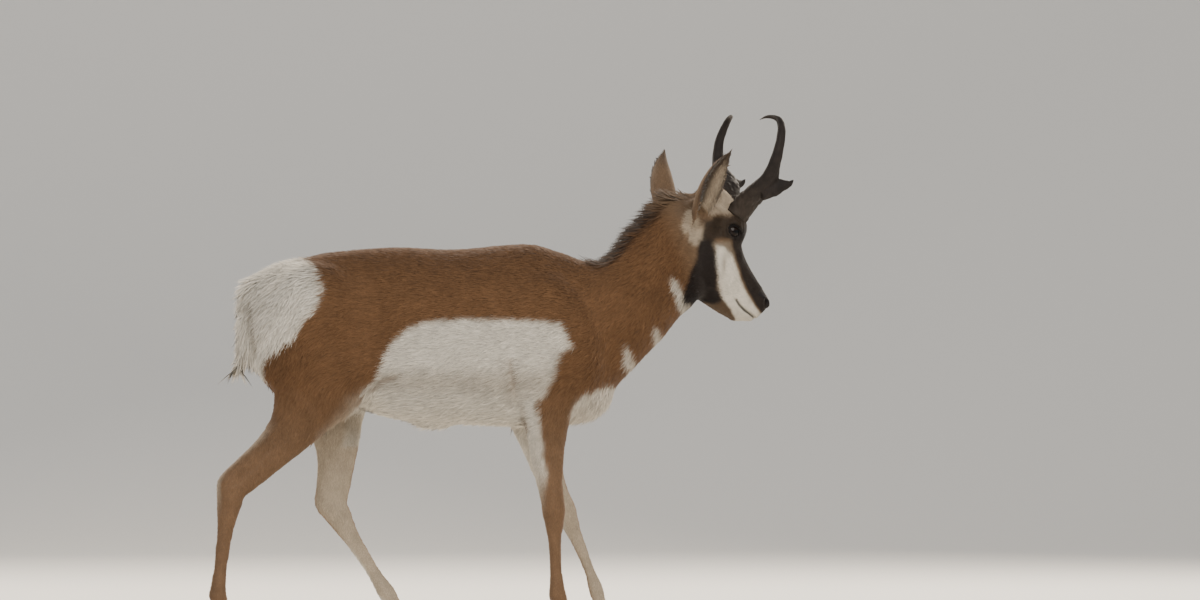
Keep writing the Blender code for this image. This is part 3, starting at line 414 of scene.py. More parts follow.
# %% Sizes of legs and tail, in mm
# place along the joints, reach forward, reach back, half width
FORE_SHAPE = [
    (0.00, 75, 75, 35), (0.40, 116, 76, 43), (0.75, 108, 78, 46), (1.00, 86, 66, 41),
    (1.20, 58, 54, 35), (1.40, 42, 46, 31), (1.60, 33, 41, 27), (1.80, 27, 33, 24),
    (1.95, 28, 27, 24), (2.05, 30, 26, 25), (2.20, 24, 21, 21), (2.40, 17, 16, 16),
    (2.75, 15, 15, 14), (2.92, 18, 19, 18), (3.05, 20, 22, 20), (3.50, 17, 19, 18),
    (4.00, 19, 19, 20), (4.25, 19, 19, 20),
]
HIND_SHAPE = [
    (0.00, 100, 112, 52), (0.40, 124, 138, 62), (0.75, 122, 133, 60), (1.00, 78, 132, 52),
    (1.20, 57, 98, 43), (1.40, 52, 58, 36), (1.60, 46, 41, 30), (1.80, 42, 40, 25),
    (1.92, 40, 41, 23), (2.00, 38, 34, 24), (2.10, 34, 29, 24), (2.20, 28, 26, 21),
    (2.40, 20, 19, 17), (2.75, 16, 17, 14), (2.92, 18, 20, 18), (3.05, 20, 22, 20),
    (3.50, 17, 20, 18), (4.00, 19, 19, 20), (4.25, 19, 19, 20),
]
# shape, sideways place, joints from the top as x and z
LEGS = {
    "fore_right": (FORE_SHAPE, -84, [(125, 750), (90, 533), (108, 290), (119, 92), (140, 34)]),
    "fore_left": (FORE_SHAPE, 84, [(148, 750), (75, 515), (150, 287), (236, 98), (262, 34)]),
    "hind_right": (HIND_SHAPE, -90, [(-455, 752), (-400, 538), (-622, 330), (-649, 95), (-622, 34)]),
    "hind_left": (HIND_SHAPE, 90, [(-420, 752), (-350, 532), (-372, 285), (-246, 92), (-212, 34)]),
}
# The share of a bone over which its direction turns into the next one's.
JOINT_BLEND = 0.35
# How far out the top of a leg stands, as a share of where its foot stands.
LEG_TOP_INSET = 0.5
# x, z, half depth, half width
TAIL = [
    (-528, 812, 12, 16), (-552, 800, 16, 22), (-570, 772, 17, 27), (-577, 728, 16, 29),
    (-579, 684, 16, 29), (-583, 645, 15, 26), (-591, 610, 12, 19), (-598, 584, 4, 7),
]
print("legs:", ", ".join(LEGS))

# %% [markdown]
# A limb or a trunk is seldom an exact ellipse: a chest is fuller below, and a leg is a little
# square. A superellipse covers all of these with one formula, and lets a ring go from
# one to the other as it moves along the body.

# %% Rings through rows
def ellipse_rings(centre, across, up, half_up, half_across, around, egg=0.0, power=2.0):
    """Rings of a superellipse: up * cos(t), across * sin(t), fuller below by egg.

    Cos and sin are raised to 2 / power, so a power above 2 squares the ring off.
    """
    turn = np.linspace(0, 2 * math.pi, around, endpoint=False)
    cos = np.cos(turn)
    sin = np.sin(turn)
    tall = np.sign(cos) * np.abs(cos) ** (2 / power)
    wide = np.sign(sin) * np.abs(sin) ** (2 / power) * (1 - egg * cos)
    return (centre[:, None, :] + up[:, None, :] * (half_up[:, None] * tall)[..., None]
            + across[:, None, :] * (half_across[:, None] * wide)[..., None])


def profile_rings(rows, count, around, egg=0.0, power=2.0):
    """Rings through rows of upper x, z, lower x, z and half width, in mm.

    The middle of a ring is halfway between its upper and lower point.
    """
    table = smooth_rows(rows, count) * MM
    upper = np.stack([table[:, 0], np.zeros(count), table[:, 1]], axis=1)
    lower = np.stack([table[:, 2], np.zeros(count), table[:, 3]], axis=1)
    centre = (upper + lower) / 2
    up = unit(upper - lower)
    across = np.tile([0.0, 1.0, 0.0], (count, 1))
    half = np.linalg.norm(upper - lower, axis=1) / 2
    return ellipse_rings(centre, across, up, half, np.maximum(table[:, 4], MM), around, egg, power)


def head_rings():
    """The rows of the head, led from its own frame to the body's, then lofted."""
    rows = []
    for upper_a, upper_b, lower_a, lower_b, wide in HEAD:
        top = head_point(upper_a, upper_b)
        low = head_point(lower_a, lower_b)
        rows.append((top[0] / MM, top[2] / MM, low[0] / MM, low[2] / MM, wide))
    return profile_rings(rows, 90, 56, egg=-0.06, power=2.2)


print("rings of the head:", head_rings().shape[:2])

# %% [markdown]
# At a knee the section has to turn from one bone to the next, or the leg pinches. Blender's
# skin modifier blends such corners by itself, but not to given widths. Here the direction is mixed
# from both bones near each joint, half of each at the joint itself.

# %% Legs along their joints
def leg_line(joints, place):
    """Point and forward direction at one place along a leg's joints.

    The whole part of the place picks the bone, and the rest is the share along it.
    """
    points = np.array(joints, dtype=float)
    bones = unit(np.diff(points, axis=0))
    bone = min(int(place), len(bones) - 1)
    part = place - bone
    point = points[bone] + (points[bone + 1] - points[bone]) * part
    way = bones[bone]
    if part < JOINT_BLEND and bone > 0:
        share = 0.5 + 0.5 * part / JOINT_BLEND
        way = bones[bone - 1] * (1 - share) + way * share
    if 1 - JOINT_BLEND < part <= 1 and bone < len(bones) - 1:
        share = 0.5 + 0.5 * (1 - part) / JOINT_BLEND
        way = bones[bone + 1] * (1 - share) + way * share
    way = way / np.linalg.norm(way)
    return point, np.array([-way[1], way[0]])


def leg_rings(shape, side, joints):
    """Rings from reach forward and back at each place, moved out to the leg's own side."""
    rows = []
    for place, front, back, wide in shape:
        point, ahead = leg_line(joints, place)
        rows.append((*(point + ahead * front), *(point - ahead * back), wide))
    rings = profile_rings(rows, 90, 32, power=2.1)
    place = smooth_rows([(row[0],) for row in shape], 90)[:, 0]
    inset = np.interp(place, [0, 0.5, 1.1], [LEG_TOP_INSET, 0.8, 1.0])
    rings[:, :, 1] += (side * MM * inset)[:, None]
    return rings


print("rings of a leg:", leg_rings(*LEGS["fore_right"]).shape[:2])

# %% [markdown]
# Muscles and bones push the hide out: shoulder, haunch, cheek, brow. They could be sculpted on.
# Balls that overlap the lofts do the same before the surfaces are fused, and each keeps a place
# and a size that can be read.

# %% Balls for muscle and bone
# x, sideways, z, half sizes, tilt: shoulder and haunch
BODY_BALLS = [
    (108, 84, 655, (112, 50, 160), -0.25), (-430, 66, 680, (135, 68, 160), 0.15),
]
# a, b, sideways, half sizes: cheek, eye socket, brow, cheekbone, temple, back of the jaw, and
# the wing of the nostril
HEAD_BALLS = [
    (-165, -95, 36, (64, 25, 50)), (-205, -10, 42, (47, 31, 36)), (-212, 16, 32, (46, 26, 26)),
    (-172, -34, 32, (62, 26, 33)), (-245, -30, 28, (44, 50, 36)), (-283, -62, 48, (33, 31, 33)),
    (-4, -14, 17, (17, 12, 15)),
]
# a, b, half sizes, in the middle: skull, nape, lips and chin
MIDDLE_HEAD_BALLS = [
    (-250, 4, (60, 50, 46)), (-283, -57, (42, 46, 50)), (-20, -66, (26, 26, 16)),
    (-34, -92, (30, 20, 13)),
]
# x, z, half sizes, in the middle: brisket and navel
MIDDLE_BODY_BALLS = [(168, 556, (94, 70, 84)), (-148, 480, (58, 24, 20))]


def ball(centre, sizes, tilt=0.0, rows=24, around=36):
    """An ellipsoid, middle and half sizes in mm, turned about the Y axis.

    A row at angle u from the top is a circle of radius sin(u) at height cos(u).
    """
    up = np.linspace(0.02, math.pi - 0.02, rows)
    turn = np.linspace(0, 2 * math.pi, around, endpoint=False)
    shape = np.stack([np.outer(np.sin(up), np.cos(turn)), np.outer(np.sin(up), -np.sin(turn)),
                      np.outer(np.cos(up), np.ones(around))], axis=-1)
    shape = shape * np.array(sizes) * MM
    cos, sin = math.cos(tilt), math.sin(tilt)
    x = shape[..., 0] * cos + shape[..., 2] * sin
    z = shape[..., 2] * cos - shape[..., 0] * sin
    return tube(np.stack([x, shape[..., 1], z], axis=-1) + np.array(centre) * MM)


def head_ball(a, b, side, sizes):
    """A ball placed and turned in the head's frame."""
    x, y, z = head_point(a, b, side)
    return ball((x / MM, y / MM, z / MM), sizes, FACE_SLOPE)


print("balls:", 2 * len(BODY_BALLS + HEAD_BALLS) + len(MIDDLE_HEAD_BALLS + MIDDLE_BODY_BALLS))

# %% [markdown]
# Now lofts and balls come together and melt into one hide, as muscles under a real one do.
# The grid is as fine as the number of triangles allows, and the head is divided further on.
# Trunk and haunches are relaxed most, since their forms are large and soft. Head and lower
# legs are relaxed less, or their bones would go.

# %% One fused hide
VOXEL = 0.0074


def masses():
    """Every mass that melts into the skin, neck straight."""
    trunk = [(x, top, x, low, wide) for x, top, low, wide in TRUNK]
    parts = [
        tube(profile_rings(trunk, 90, 64, egg=0.16, power=2.15)),
        tube(profile_rings(NECK, 60, 56, egg=0.10)),
        tube(head_rings()),
    ]
    parts += [tube(leg_rings(*leg)) for leg in LEGS.values()]
    tail = smooth_rows(TAIL, 40)
    centre = np.stack([tail[:, 0], np.zeros(40), tail[:, 1]], axis=1) * MM
    way = unit(np.gradient(centre, axis=0))
    across = np.tile([0.0, 1.0, 0.0], (40, 1))
    parts.append(tube(ellipse_rings(centre, across, np.cross(across, way), tail[:, 2] * MM,
                                    tail[:, 3] * MM, 24)))
    for side in (-1, 1):
        parts += [ball((x, side * y, z), sizes, tilt) for x, y, z, sizes, tilt in BODY_BALLS]
        parts += [head_ball(a, b, side * out, sizes) for a, b, out, sizes in HEAD_BALLS]
    parts += [head_ball(a, b, 0, sizes) for a, b, sizes in MIDDLE_HEAD_BALLS]
    parts += [ball((x, 0, z), sizes) for x, z, sizes in MIDDLE_BODY_BALLS]
    return parts


points, quads, tris = remeshed(masses(), VOXEL, "masses")
above_legs = np.clip((points[:, 2] - 0.44) / 0.12, 0, 1)
behind_head = np.clip((0.44 - points[:, 0] + (points[:, 2] - 0.90) * 0.35) / 0.08, 0, 1)
edges = edges_of(quads, tris)
points = relax(points, edges, 4, 1.0)
points = relax(points, edges, 18, (above_legs * behind_head)[:, None])
print("fused skin:", len(quads) * 2 + len(tris), "triangles")

# %% [markdown]
# Eyes, lips and nostrils need far smaller faces than a flank does. A multiresolution modifier
# divides the whole mesh. Dividing only the faces in a zone spends them where they are seen: the
# head once, muzzle and eyes twice, lips and lids three times.

# %% Zones of the head
def forward_of_neck(points):
    """How far ahead of the join of neck and head a place lies: its distance, in the side view,
    from the line between poll and throat."""
    top, low = np.array([0.365, 0.985]), np.array([0.452, 0.725])
    along = unit(low - top)
    square = np.array([-along[1], along[0]])
    return (points[:, [0, 2]] - top) @ square


def eye_centre(side):
    """The middle of one eye, on the straight body."""
    a, b, out = EYE_AT
    return np.array(head_point(a, b, side * out))


def near_eyes(points, reach):
    """True within a reach of either eye's middle; the left side is mirrored from the right."""
    spots = points.copy()
    spots[:, 1] = np.abs(spots[:, 1])
    return np.linalg.norm(spots - eye_centre(1), axis=1) < reach


def face_zone(points):
    """Muzzle, and the surroundings of the eyes."""
    a, _ = head_frame(points)
    return ((a > -78) & (forward_of_neck(points) > 0.05)) | near_eyes(points, 0.040)


def fine_zone(points):
    """Lips and nose, and the lids."""
    a, _ = head_frame(points)
    return ((a > -34) & (forward_of_neck(points) > 0.05)) | near_eyes(points, 0.030)


print("points ahead of the neck:", int((forward_of_neck(points) > 0).sum()))

# %% [markdown]
# bmesh can divide chosen edges and keep the rest of the mesh closed round them. Where a divided
# face meets a whole one, a face with five or more corners is left, and these are cut into
# triangles.

# %% Finer head
def refine(points, quads, tris, keep):
    """Split every face whose corners are all in a zone; each of its edges is halved."""
    chosen = keep(points)
    work = bmesh.new()
    mesh = bpy.data.meshes.new("work")
    mesh.from_pydata(points, [], quads.tolist() + tris.tolist())
    work.from_mesh(mesh)
    bpy.data.meshes.remove(mesh)
    work.verts.ensure_lookup_table()
    inside = set(np.nonzero(chosen)[0].tolist())
    faces = [f for f in work.faces if all(v.index in inside for v in f.verts)]
    edges = list({e for f in faces for e in f.edges})
    bmesh.ops.subdivide_edges(work, edges=edges, cuts=1, use_grid_fill=True)
    wide = [f for f in work.faces if len(f.verts) > 4]
    bmesh.ops.triangulate(work, faces=wide)
    mesh = bpy.data.meshes.new("work")
    work.to_mesh(mesh)
    work.free()
    result = read_mesh(mesh)
    bpy.data.meshes.remove(mesh)
    return result[0] - SHIFT, result[1], result[2]


points, quads, tris = refine(points, quads, tris, lambda p: forward_of_neck(p) > -0.004)
points, quads, tris = refine(points, quads, tris, face_zone)
points, quads, tris = refine(points, quads, tris, fine_zone)
edges = edges_of(quads, tris)
on_head = ease_in(-0.004, 0.01, forward_of_neck(points))[:, None]
points = relax(points, edges, 4, on_head)
print("skin with a finer head:", len(quads) * 2 + len(tris), "triangles")

# %% [markdown]
# A pronghorn's face has folds at the lips, nostrils, lids and brow, and its flanks show the
# edges of muscle under the hide. Such lines are usually carved with a sculpting brush. Here each
# is a line with a depth and a width: it presses the skin in (negative) or raises it, falling
# off as exp(-(distance / width)^2). A fold can then be moved by changing a number.

# %% Lines that are pressed in or raised
# On the head: points of a, b and sideways; then depth and width, all in mm. In order: upper and
# lower lip, corner of the mouth, nostril, its rim above and in front, cleft of the lip, corner
# of the eye, brow, upper lid, lower lid, cheekbone, cheek, jaw, throat, bridge.
STROKES = [
    ([(12, -44, 8), (-6, -54, 24), (-26, -62, 32), (-46, -68, 37)], 1.4, 4.5),
    ([(8, -64, 8), (-8, -74, 22), (-28, -83, 29), (-46, -88, 34)], 1.5, 4.5),
    ([(-60, -79, 38), (-68, -78, 41)], -2.0, 3.2),
    ([(9, -14, 11), (6, -20, 17), (0, -21, 22), (-7, -16, 25), (-12, -9, 26)], -7.5, 2.9),
    ([(6, -9, 12), (-1, -10, 20), (-9, -4, 24), (-16, -5, 26)], 1.8, 3.2),
    ([(4, -27, 17), (-5, -26, 24), (-14, -18, 28)], 1.4, 3.4),
    ([(16, -18, 0), (17, -32, 0), (16, -46, 0)], -2.2, 1.4),
    ([(-160, -22, 62), (-172, -30, 66), (-184, -30, 70)], -2.4, 3.5),
    ([(-225, 12, 62), (-205, 18, 66), (-184, 10, 64)], -1.8, 3.0),
    ([(-228, 2, 68), (-205, 7, 73), (-182, 0, 70)], 1.2, 3.2),
    ([(-228, -36, 64), (-205, -44, 66), (-180, -40, 64)], -1.6, 3.6),
    ([(-150, -30, 52), (-118, -36, 44), (-86, -34, 36), (-56, -26, 31)], -2.0, 8.0),
    ([(-175, -55, 60), (-140, -62, 54), (-105, -62, 46)], 1.8, 9.0),
    ([(-100, -108, 34), (-135, -128, 44), (-170, -140, 52)], -2.2, 8.0),
    ([(-262, -95, 52), (-235, -140, 56)], -2.5, 9.0),
    ([(-40, 6, 0), (-90, 6, 0), (-140, 10, 0)], 1.6, 16.0),
]
# On the flanks: lines of x and z only, drawn on the outer faces. The first two are the elbow's
# fold and the flank's fold; then shoulder, its edge, hip, buttock, hock and forearm.
BODY_STROKES = [
    ([(13, 616), (22, 560), (29, 522), (47, 463)], -4.5, 7.0),
    ([(-243, 580), (-270, 574), (-289, 562), (-323, 538)], -4.0, 6.0),
    ([(150, 770), (178, 700), (176, 640), (152, 590)], -2.0, 24.0),
    ([(-25, 770), (12, 700), (20, 640)], -3.0, 18.0),
    ([(-305, 810), (-290, 730), (-300, 650)], -3.5, 26.0),
    ([(-470, 560), (-430, 520), (-400, 470)], -2.2, 12.0),
    ([(-540, 420), (-575, 380), (-610, 345)], -2.4, 8.0),
    ([(100, 420), (106, 370), (110, 330)], -1.6, 7.0),
]
# The folds of elbow and flank, along which the colour also gets painted shade as dark lines.
SHADED_FOLDS = BODY_STROKES[:2]
# The line between the lips, from the front to the corner: a and b only.
MOUTH = [(17, -50), (8, -55), (-8, -63), (-24, -71), (-42, -77), (-58, -79)]
MOUTH_DEPTH, MOUTH_WIDTH = 3.4, 1.8
print("lines on the head:", len(STROKES), "and on the body:", len(BODY_STROKES))

# %% [markdown]
# To press along a line, each point has to know how far it is from it. A shrinkwrap or a texture
# could mark the band. The distance to a chain of straight runs is exact and needs neither:
# the nearest place on a run is found by its share along it, held between its two ends.

# %% How far a place is from a line
def line_gap(spots, path):
    """Distance from each place to a line through several points, the least over its runs."""
    near = np.full(len(spots), 1e9)
    for start, end in zip(path[:-1], path[1:]):
        run = end - start
        part = np.clip((spots - start) @ run / (run @ run), 0, 1)
        near = np.minimum(near, np.linalg.norm(spots - start - part[:, None] * run, axis=1))
    return near


def head_line_gap(points, line):
    """The same in mm for a line on the head, alike on both sides."""
    spots = points.copy()
    spots[:, 1] = np.abs(spots[:, 1])
    return line_gap(spots, np.array([head_point(*spot) for spot in line])) / MM


def mouth_gap(points):
    """Distance in mm from the line between the lips, seen from the side."""
    return line_gap(np.stack(head_frame(points), axis=1), np.array(MOUTH, dtype=float))


def stroke(points, normals, line, depth, width):
    """Move the skin along its normals by depth * exp(-(distance / width)^2)."""
    fall = np.exp(-(head_line_gap(points, line) / width) ** 2)
    return points + normals * (fall * depth * MM)[:, None]


def body_stroke(points, normals, line, depth, width):
    """The same for a line on the side view, on faces that look outward only."""
    gap = line_gap(points[:, [0, 2]] / MM, np.array(line, dtype=float))
    outer = ease_in(0.1, 0.5, normals[:, 1] * np.sign(points[:, 1]))
    return points + normals * (np.exp(-(gap / width) ** 2) * outer * depth * MM)[:, None]


normals = vertex_normals(points, quads, tris)
for line, depth, width in STROKES:
    points = stroke(points, normals, line, depth, width)
lips = np.exp(-(mouth_gap(points) / MOUTH_WIDTH) ** 2) * (forward_of_neck(points) > 0.05)
points = points - normals * (lips * MOUTH_DEPTH * MM)[:, None]
for line, depth, width in BODY_STROKES:
    points = body_stroke(points, normals, line, depth, width)
print("deepest place between the lips:", round(float(lips.max()) * MOUTH_DEPTH, 2), "mm")

# %% [markdown]
# Lids are skin that slides over a ball, and their opening is an almond that slopes down to the
# front. A hole could be cut and its edge moved by hand. It is surer to measure from the
# eyeball's middle: skin inside the almond sinks behind the ball, and skin outside it
# stays a little way off the ball, with a soft lip at the edge.

# %% Lids
# Half the almond's length and height, as tangents seen from the eye's middle.
EYE_OPENING = (1.0, 0.66)
EYE_SLOPE = math.radians(34)
LID_GAP = 2.2
LID_REACH = 16
SINK = 4


def eye_axes(side):
    """The almond's own directions: along it, square to it, and outward."""
    heading = np.array([math.cos(EYE_SLOPE), 0, -math.sin(EYE_SLOPE)])
    square = np.array([math.sin(EYE_SLOPE), 0, math.cos(EYE_SLOPE)])
    return heading, square, np.array([0.0, side, 0.0])


def almond_share(spots, centre, out):
    """Below one inside the opening of the lids, seen from the eye's centre.

    It is the length of (along / half length, above / half height), with the height drawn in
    towards the corners.
    """
    away = spots - centre
    heading, square, _ = eye_axes(out)
    depth = np.maximum(away[:, 1] * out, 1e-5)
    along = (away @ heading) / depth / EYE_OPENING[0]
    above = (away @ square) / depth / EYE_OPENING[1]
    narrow = 1 - 0.18 * along**2 / np.maximum(along**2 + above**2, 1e-6)
    share = np.sqrt(along**2 + (above / narrow) ** 2)
    return np.where(away[:, 1] * out > 0.25 * EYE_RADIUS * MM, share, 9.0)


def fit_lids(points):
    """Sink the skin behind the eyeball inside the opening, and hold it just outside round it."""
    for out in (-1, 1):
        centre = eye_centre(out)
        away = points - centre
        reach = np.linalg.norm(away, axis=1)
        share = almond_share(points, centre, out)
        close = reach < (EYE_RADIUS + LID_REACH) * MM
        rim = (EYE_RADIUS + LID_GAP) * MM
        hold = np.where(share < 1.0, (EYE_RADIUS - SINK) * MM, np.maximum(reach, rim))
        lip = np.exp(-((share - 1.12) / 0.16) ** 2) * (share >= 1.0)
        hold = hold + (rim + 0.0016 - hold) * lip * 0.75
        points = np.where(close[:, None], centre + unit(away) * hold[:, None], points)
    return points


points = fit_lids(points)
print("points near the right eye:", int((np.linalg.norm(points - eye_centre(-1), axis=1) < 0.03).sum()))

# %% [markdown]
# A pronghorn's ear is a leaf of gristle and skin, curled into a cup with its opening turned
# outward. A flat leaf could be bent by modifiers. It is quicker to carry an arc up the ear's
# path: a wide arc outside, a smaller one inside, and edges that thin out. Each point also
# keeps its marks (height, distance from the fold, inside or outside), which later colour it.

# %% Ears
# Points up the middle of the ear as x, sideways, z; then radius, half the curl in degrees and
# thickness at each, all in mm, and the direction that the cup faces.
EAR_PATH = [
    (434, 26, 897), (438, 62, 939), (440, 83, 965), (442, 104, 992), (447, 121, 1022),
    (456, 136, 1054), (472, 148, 1086),
]
EAR_RADIUS = [10, 20, 26, 29.5, 27, 18, 1.5]
EAR_WRAP = [125, 122, 112, 100, 88, 80, 70]
EAR_THICK = [5.0, 4.6, 4.0, 3.4, 2.8, 2.2, 0.8]
EAR_FACES = (0.12, 0.98, 0.05)


def path_frames(points, outward):
    """Along a path: its direction, a side square to it nearest to outward, and the third."""
    way = unit(np.gradient(points, axis=0))
    side = unit(outward - (outward * way).sum(axis=1, keepdims=True) * way)
    return way, side, np.cross(way, side)


def ear(side, count=46, half=26):
    """An arc outside, a smaller arc inside, carried up the ear's path.

    A point is the path's point less front * radius cos(turn), plus across * radius sin(turn).
    """
    rows = [(*p, r, w, t) for p, r, w, t in zip(EAR_PATH, EAR_RADIUS, EAR_WRAP, EAR_THICK)]
    table = smooth_rows(rows, count)
    line = table[:, :3] * [1, side, 1] * MM
    _, front, across = path_frames(line, np.array([EAR_FACES]) * [1, side, 1])
    curl = np.radians(np.clip(table[:, 4], 20, 160))
    sweep = np.linspace(-1, 1, half)
    turn = curl[:, None] * sweep[None, :]
    radius = np.maximum(table[:, 3] - 1.2, 0.8)[:, None] * MM
    wall = np.minimum(table[:, 5][:, None] * MM, radius * 0.8)
    taper = 1 - 0.62 * np.abs(sweep[None, :]) ** 3

    def arc(turn, radius):
        back = -front[:, None, :] * (radius * np.cos(turn))[..., None]
        return line[:, None, :] + back + across[:, None, :] * (radius * np.sin(turn))[..., None]

    outer = arc(turn, radius)
    inner = arc(turn[:, ::-1], radius - wall * taper[:, ::-1])
    p, q, t = tube(np.concatenate([outer, inner], axis=1))
    q, t = q[:, ::-1], t[:, ::-1]
    along = np.repeat(np.linspace(0, 1, count), 2 * half)
    edge = np.tile(np.concatenate([np.abs(sweep), np.abs(sweep)]), count)
    cup = np.tile(np.concatenate([np.zeros(half), np.ones(half)]), count)
    marks = np.stack([along, edge, cup], axis=1)
    return (p, q, t), np.vstack([marks, [[0, 0, 0], [1, 0, 0]]])


body_count = len(points)
ears = [ear(side) for side in (-1, 1)]
points, quads, tris = join([(points, quads, tris)] + [part for part, _ in ears])
ear_marks = np.full((len(points), 3), -1.0)
ear_marks[body_count:] = np.vstack([marks for _, marks in ears])
is_ear = ear_marks[:, 0] >= 0
normals = vertex_normals(points, quads, tris)
print("skin with ears:", len(quads) * 2 + len(tris), "triangles")

# %% [markdown]
# Each marking has a sharp outline on the real animal, the same on both sides. An image could be
# painted for them. An outline of a few points needs no image, stays sharp at any size and can be
# compared with the side view point by point. They are in mm ahead and mm up, with the neck
# turned as it stands.

# %% Outlines on trunk and neck
RUMP = [
    (-421, 848), (-403, 832), (-394, 814), (-389, 774), (-400, 740), (-428, 706), (-472, 673),
    (-518, 639), (-536, 621), (-531, 590), (-551, 562), (-641, 562), (-641, 864), (-536, 864),
    (-472, 873),
]
SIDE = [
    (-158, 706), (-101, 711), (0, 711), (90, 709), (146, 704), (158, 684), (173, 650), (148, 639),
    (137, 616), (128, 583), (112, 549), (97, 533), (88, 522), (83, 459), (68, 423), (-338, 423),
    (-320, 504), (-292, 536), (-261, 590), (-252, 628), (-225, 662), (-198, 688),
]
CHEST = [
    (162, 459), (171, 522), (198, 551), (230, 562), (266, 562), (292, 544), (259, 500), (225, 472),
    (191, 446),
]
NECK_LOW = [
    (288, 655), (299, 639), (315, 616), (306, 594), (290, 603), (284, 630),
]
NECK_MID = [
    (351, 695), (364, 693), (378, 668), (371, 644), (356, 652),
]
THROAT = [
    (392, 810), (405, 803), (418, 778), (430, 752), (448, 727), (432, 709), (414, 734), (403, 760),
    (394, 785),
]
THIGH_FOLD = [
    (-333, 544), (-288, 562), (-243, 526), (-259, 470), (-349, 436), (-382, 425), (-400, 454),
    (-364, 493),
]
FORE_STRIP = [
    (63, 531), (92, 531), (92, 459), (101, 403), (106, 346), (104, 290), (92, 290), (74, 346),
    (63, 414),
]
print("points in the side's outline:", len(SIDE))

# %% [markdown]
# The face carries most of the pattern: a dark mask along the bridge, a pale cheek, a dark patch
# below the ear in a buck, and pale tufts round ear and horn. The outlines overlap, and
# the order in which they are laid on decides which shows, as with coats of paint.

# %% Outlines on the head
CHEEK_DARK = [
    (452, 886), (479, 886), (488, 860), (493, 830), (495, 801), (493, 772), (504, 749), (486, 738),
    (464, 740), (443, 742), (425, 745), (421, 763), (432, 796), (443, 832),
]
# Round and behind the eye: dark brown hair, and above the eye painted shadow under the brow.
EYE_DARK = [
    (464, 927), (486, 932), (504, 934), (526, 938), (544, 945), (558, 934), (567, 909), (554, 886),
    (533, 882), (513, 886), (495, 889), (482, 880), (477, 860), (450, 860), (457, 891), (459, 914),
]
MASK = [
    (524, 891), (526, 868), (533, 846), (540, 824), (548, 796), (558, 774), (569, 754), (580, 736),
    (590, 722), (603, 706), (675, 711), (675, 774), (619, 875), (567, 914),
]
FACE_PALE = [
    (493, 873), (506, 868), (524, 850), (533, 828), (542, 799), (551, 776), (562, 756), (574, 738),
    (585, 723), (594, 711), (596, 675), (540, 675), (531, 711), (518, 731), (504, 752), (497, 774),
    (497, 806), (488, 837),
]
UNDER_EAR = [
    (423, 950), (443, 954), (457, 927), (464, 898), (459, 875), (443, 873), (428, 891), (418, 918),
]
EAR_HORN = [
    (468, 981), (486, 990), (518, 994), (536, 981), (544, 961), (549, 947), (531, 940), (504, 938),
    (477, 938), (464, 954),
]
UNDER_EYE = [
    (475, 880), (520, 880), (529, 855), (536, 828), (524, 837), (508, 837), (488, 832),
]
JAW_BROWN = [
    (428, 752), (513, 752), (526, 716), (549, 693), (450, 693), (410, 724),
]
NOSE_PAD = [
    (583, 760), (598, 749), (603, 734), (592, 722), (652, 702), (652, 774), (598, 778),
]
print("points in the mask's outline:", len(MASK))

# %% [markdown]
# Colours are albedo: how much of red, green and blue light the hair gives back, as a share of
# one. They could be picked from a picture, but a picture mixes them with its light. They are set
# for white light and are darker than they look, because the values are linear.

# %% Colours of the coat
TAN = (0.140, 0.070, 0.031)
BACK = (0.088, 0.044, 0.020)
LEG_TAN = (0.175, 0.100, 0.052)
HEAD_TAN = (0.125, 0.076, 0.041)
PALE = (0.600, 0.540, 0.445)
CREAM = (0.400, 0.325, 0.235)
DARK = (0.008, 0.005, 0.004)
GREY_BROWN = (0.170, 0.130, 0.090)
CREST = (0.022, 0.012, 0.007)
# Dark hair round the eye, and painted shadow under the brow.
DARK_HAIR_AND_BROW_SHADOW = (0.012, 0.008, 0.005)
# Painted shadow for the lower part of the white side patch, where the belly curves under.
SIDE_PATCH_SHADOW = (0.300, 0.245, 0.180)
print("pale is", round(PALE[0] / TAN[0], 1), "times as bright as tan in red")

# %% [markdown]
# A point is inside an outline when a line from it crosses the outline an odd number of times.
# Hair of two colours mixes at an edge, so the distance to the outline turns that yes or no into
# a soft step some millimetres wide.

# %% Inside an outline
VIEW_TURN = math.radians(8)


def side_view(points):
    """Mm ahead and mm up on the right side's view; the left side is mirrored on to it.

    The bent body is turned by VIEW_TURN about Z, and its x and z are read off.
    """
    spots = points.copy()
    spots[:, 1] = -np.abs(spots[:, 1])
    spots = bend(spots)
    return np.stack([(spots[:, 0] * math.cos(VIEW_TURN) - spots[:, 1] * math.sin(VIEW_TURN)) / MM,
                     spots[:, 2] / MM], axis=1)


def within(view, outline, soft):
    """One inside an outline, zero outside it, soft mm of blend across its edge."""
    outline = np.array(outline, dtype=float)
    gap = np.full(len(view), 1e9)
    odd = np.zeros(len(view), dtype=bool)
    for start, end in zip(outline, np.roll(outline, -1, axis=0)):
        run = end - start
        part = np.clip((view - start) @ run / (run @ run), 0, 1)
        gap = np.minimum(gap, np.linalg.norm(view - start - part[:, None] * run, axis=1))
        crosses = (start[1] > view[:, 1]) != (end[1] > view[:, 1])
        x = start[0] + (view[:, 1] - start[1]) * run[0] / (run[1] if run[1] else 1e-9)
        odd ^= crosses & (view[:, 0] < x)
    return ease_in(-soft, soft, np.where(odd, gap, -gap))


def mix(colours, other, share):
    """Colours moved towards another by a share for each place: c + (other - c) * share."""
    return colours + (np.array(other) - colours) * share[:, None]


print("share of points inside the rump patch:", round(float(within(side_view(points), RUMP, 5).mean()), 3))

# %% [markdown]
# The coat is tan above, darker along the back, paler and greyer down the legs, and cream on
# their inner sides. Vertex paint in the viewport could do this. Layers of formulas do it the same
# way each time, and skin and hair can both ask for the colour of a place. Each layer moves the
# colour towards another where its share says so; noise moves the edges a little, as in real fur.

# %% Colours of the body
# The crease between tail and buttock, where painted shadow is laid.
TAIL_CREASE_SHADOW = [[-556.0, 790], [-551, 720], [-549, 652]]


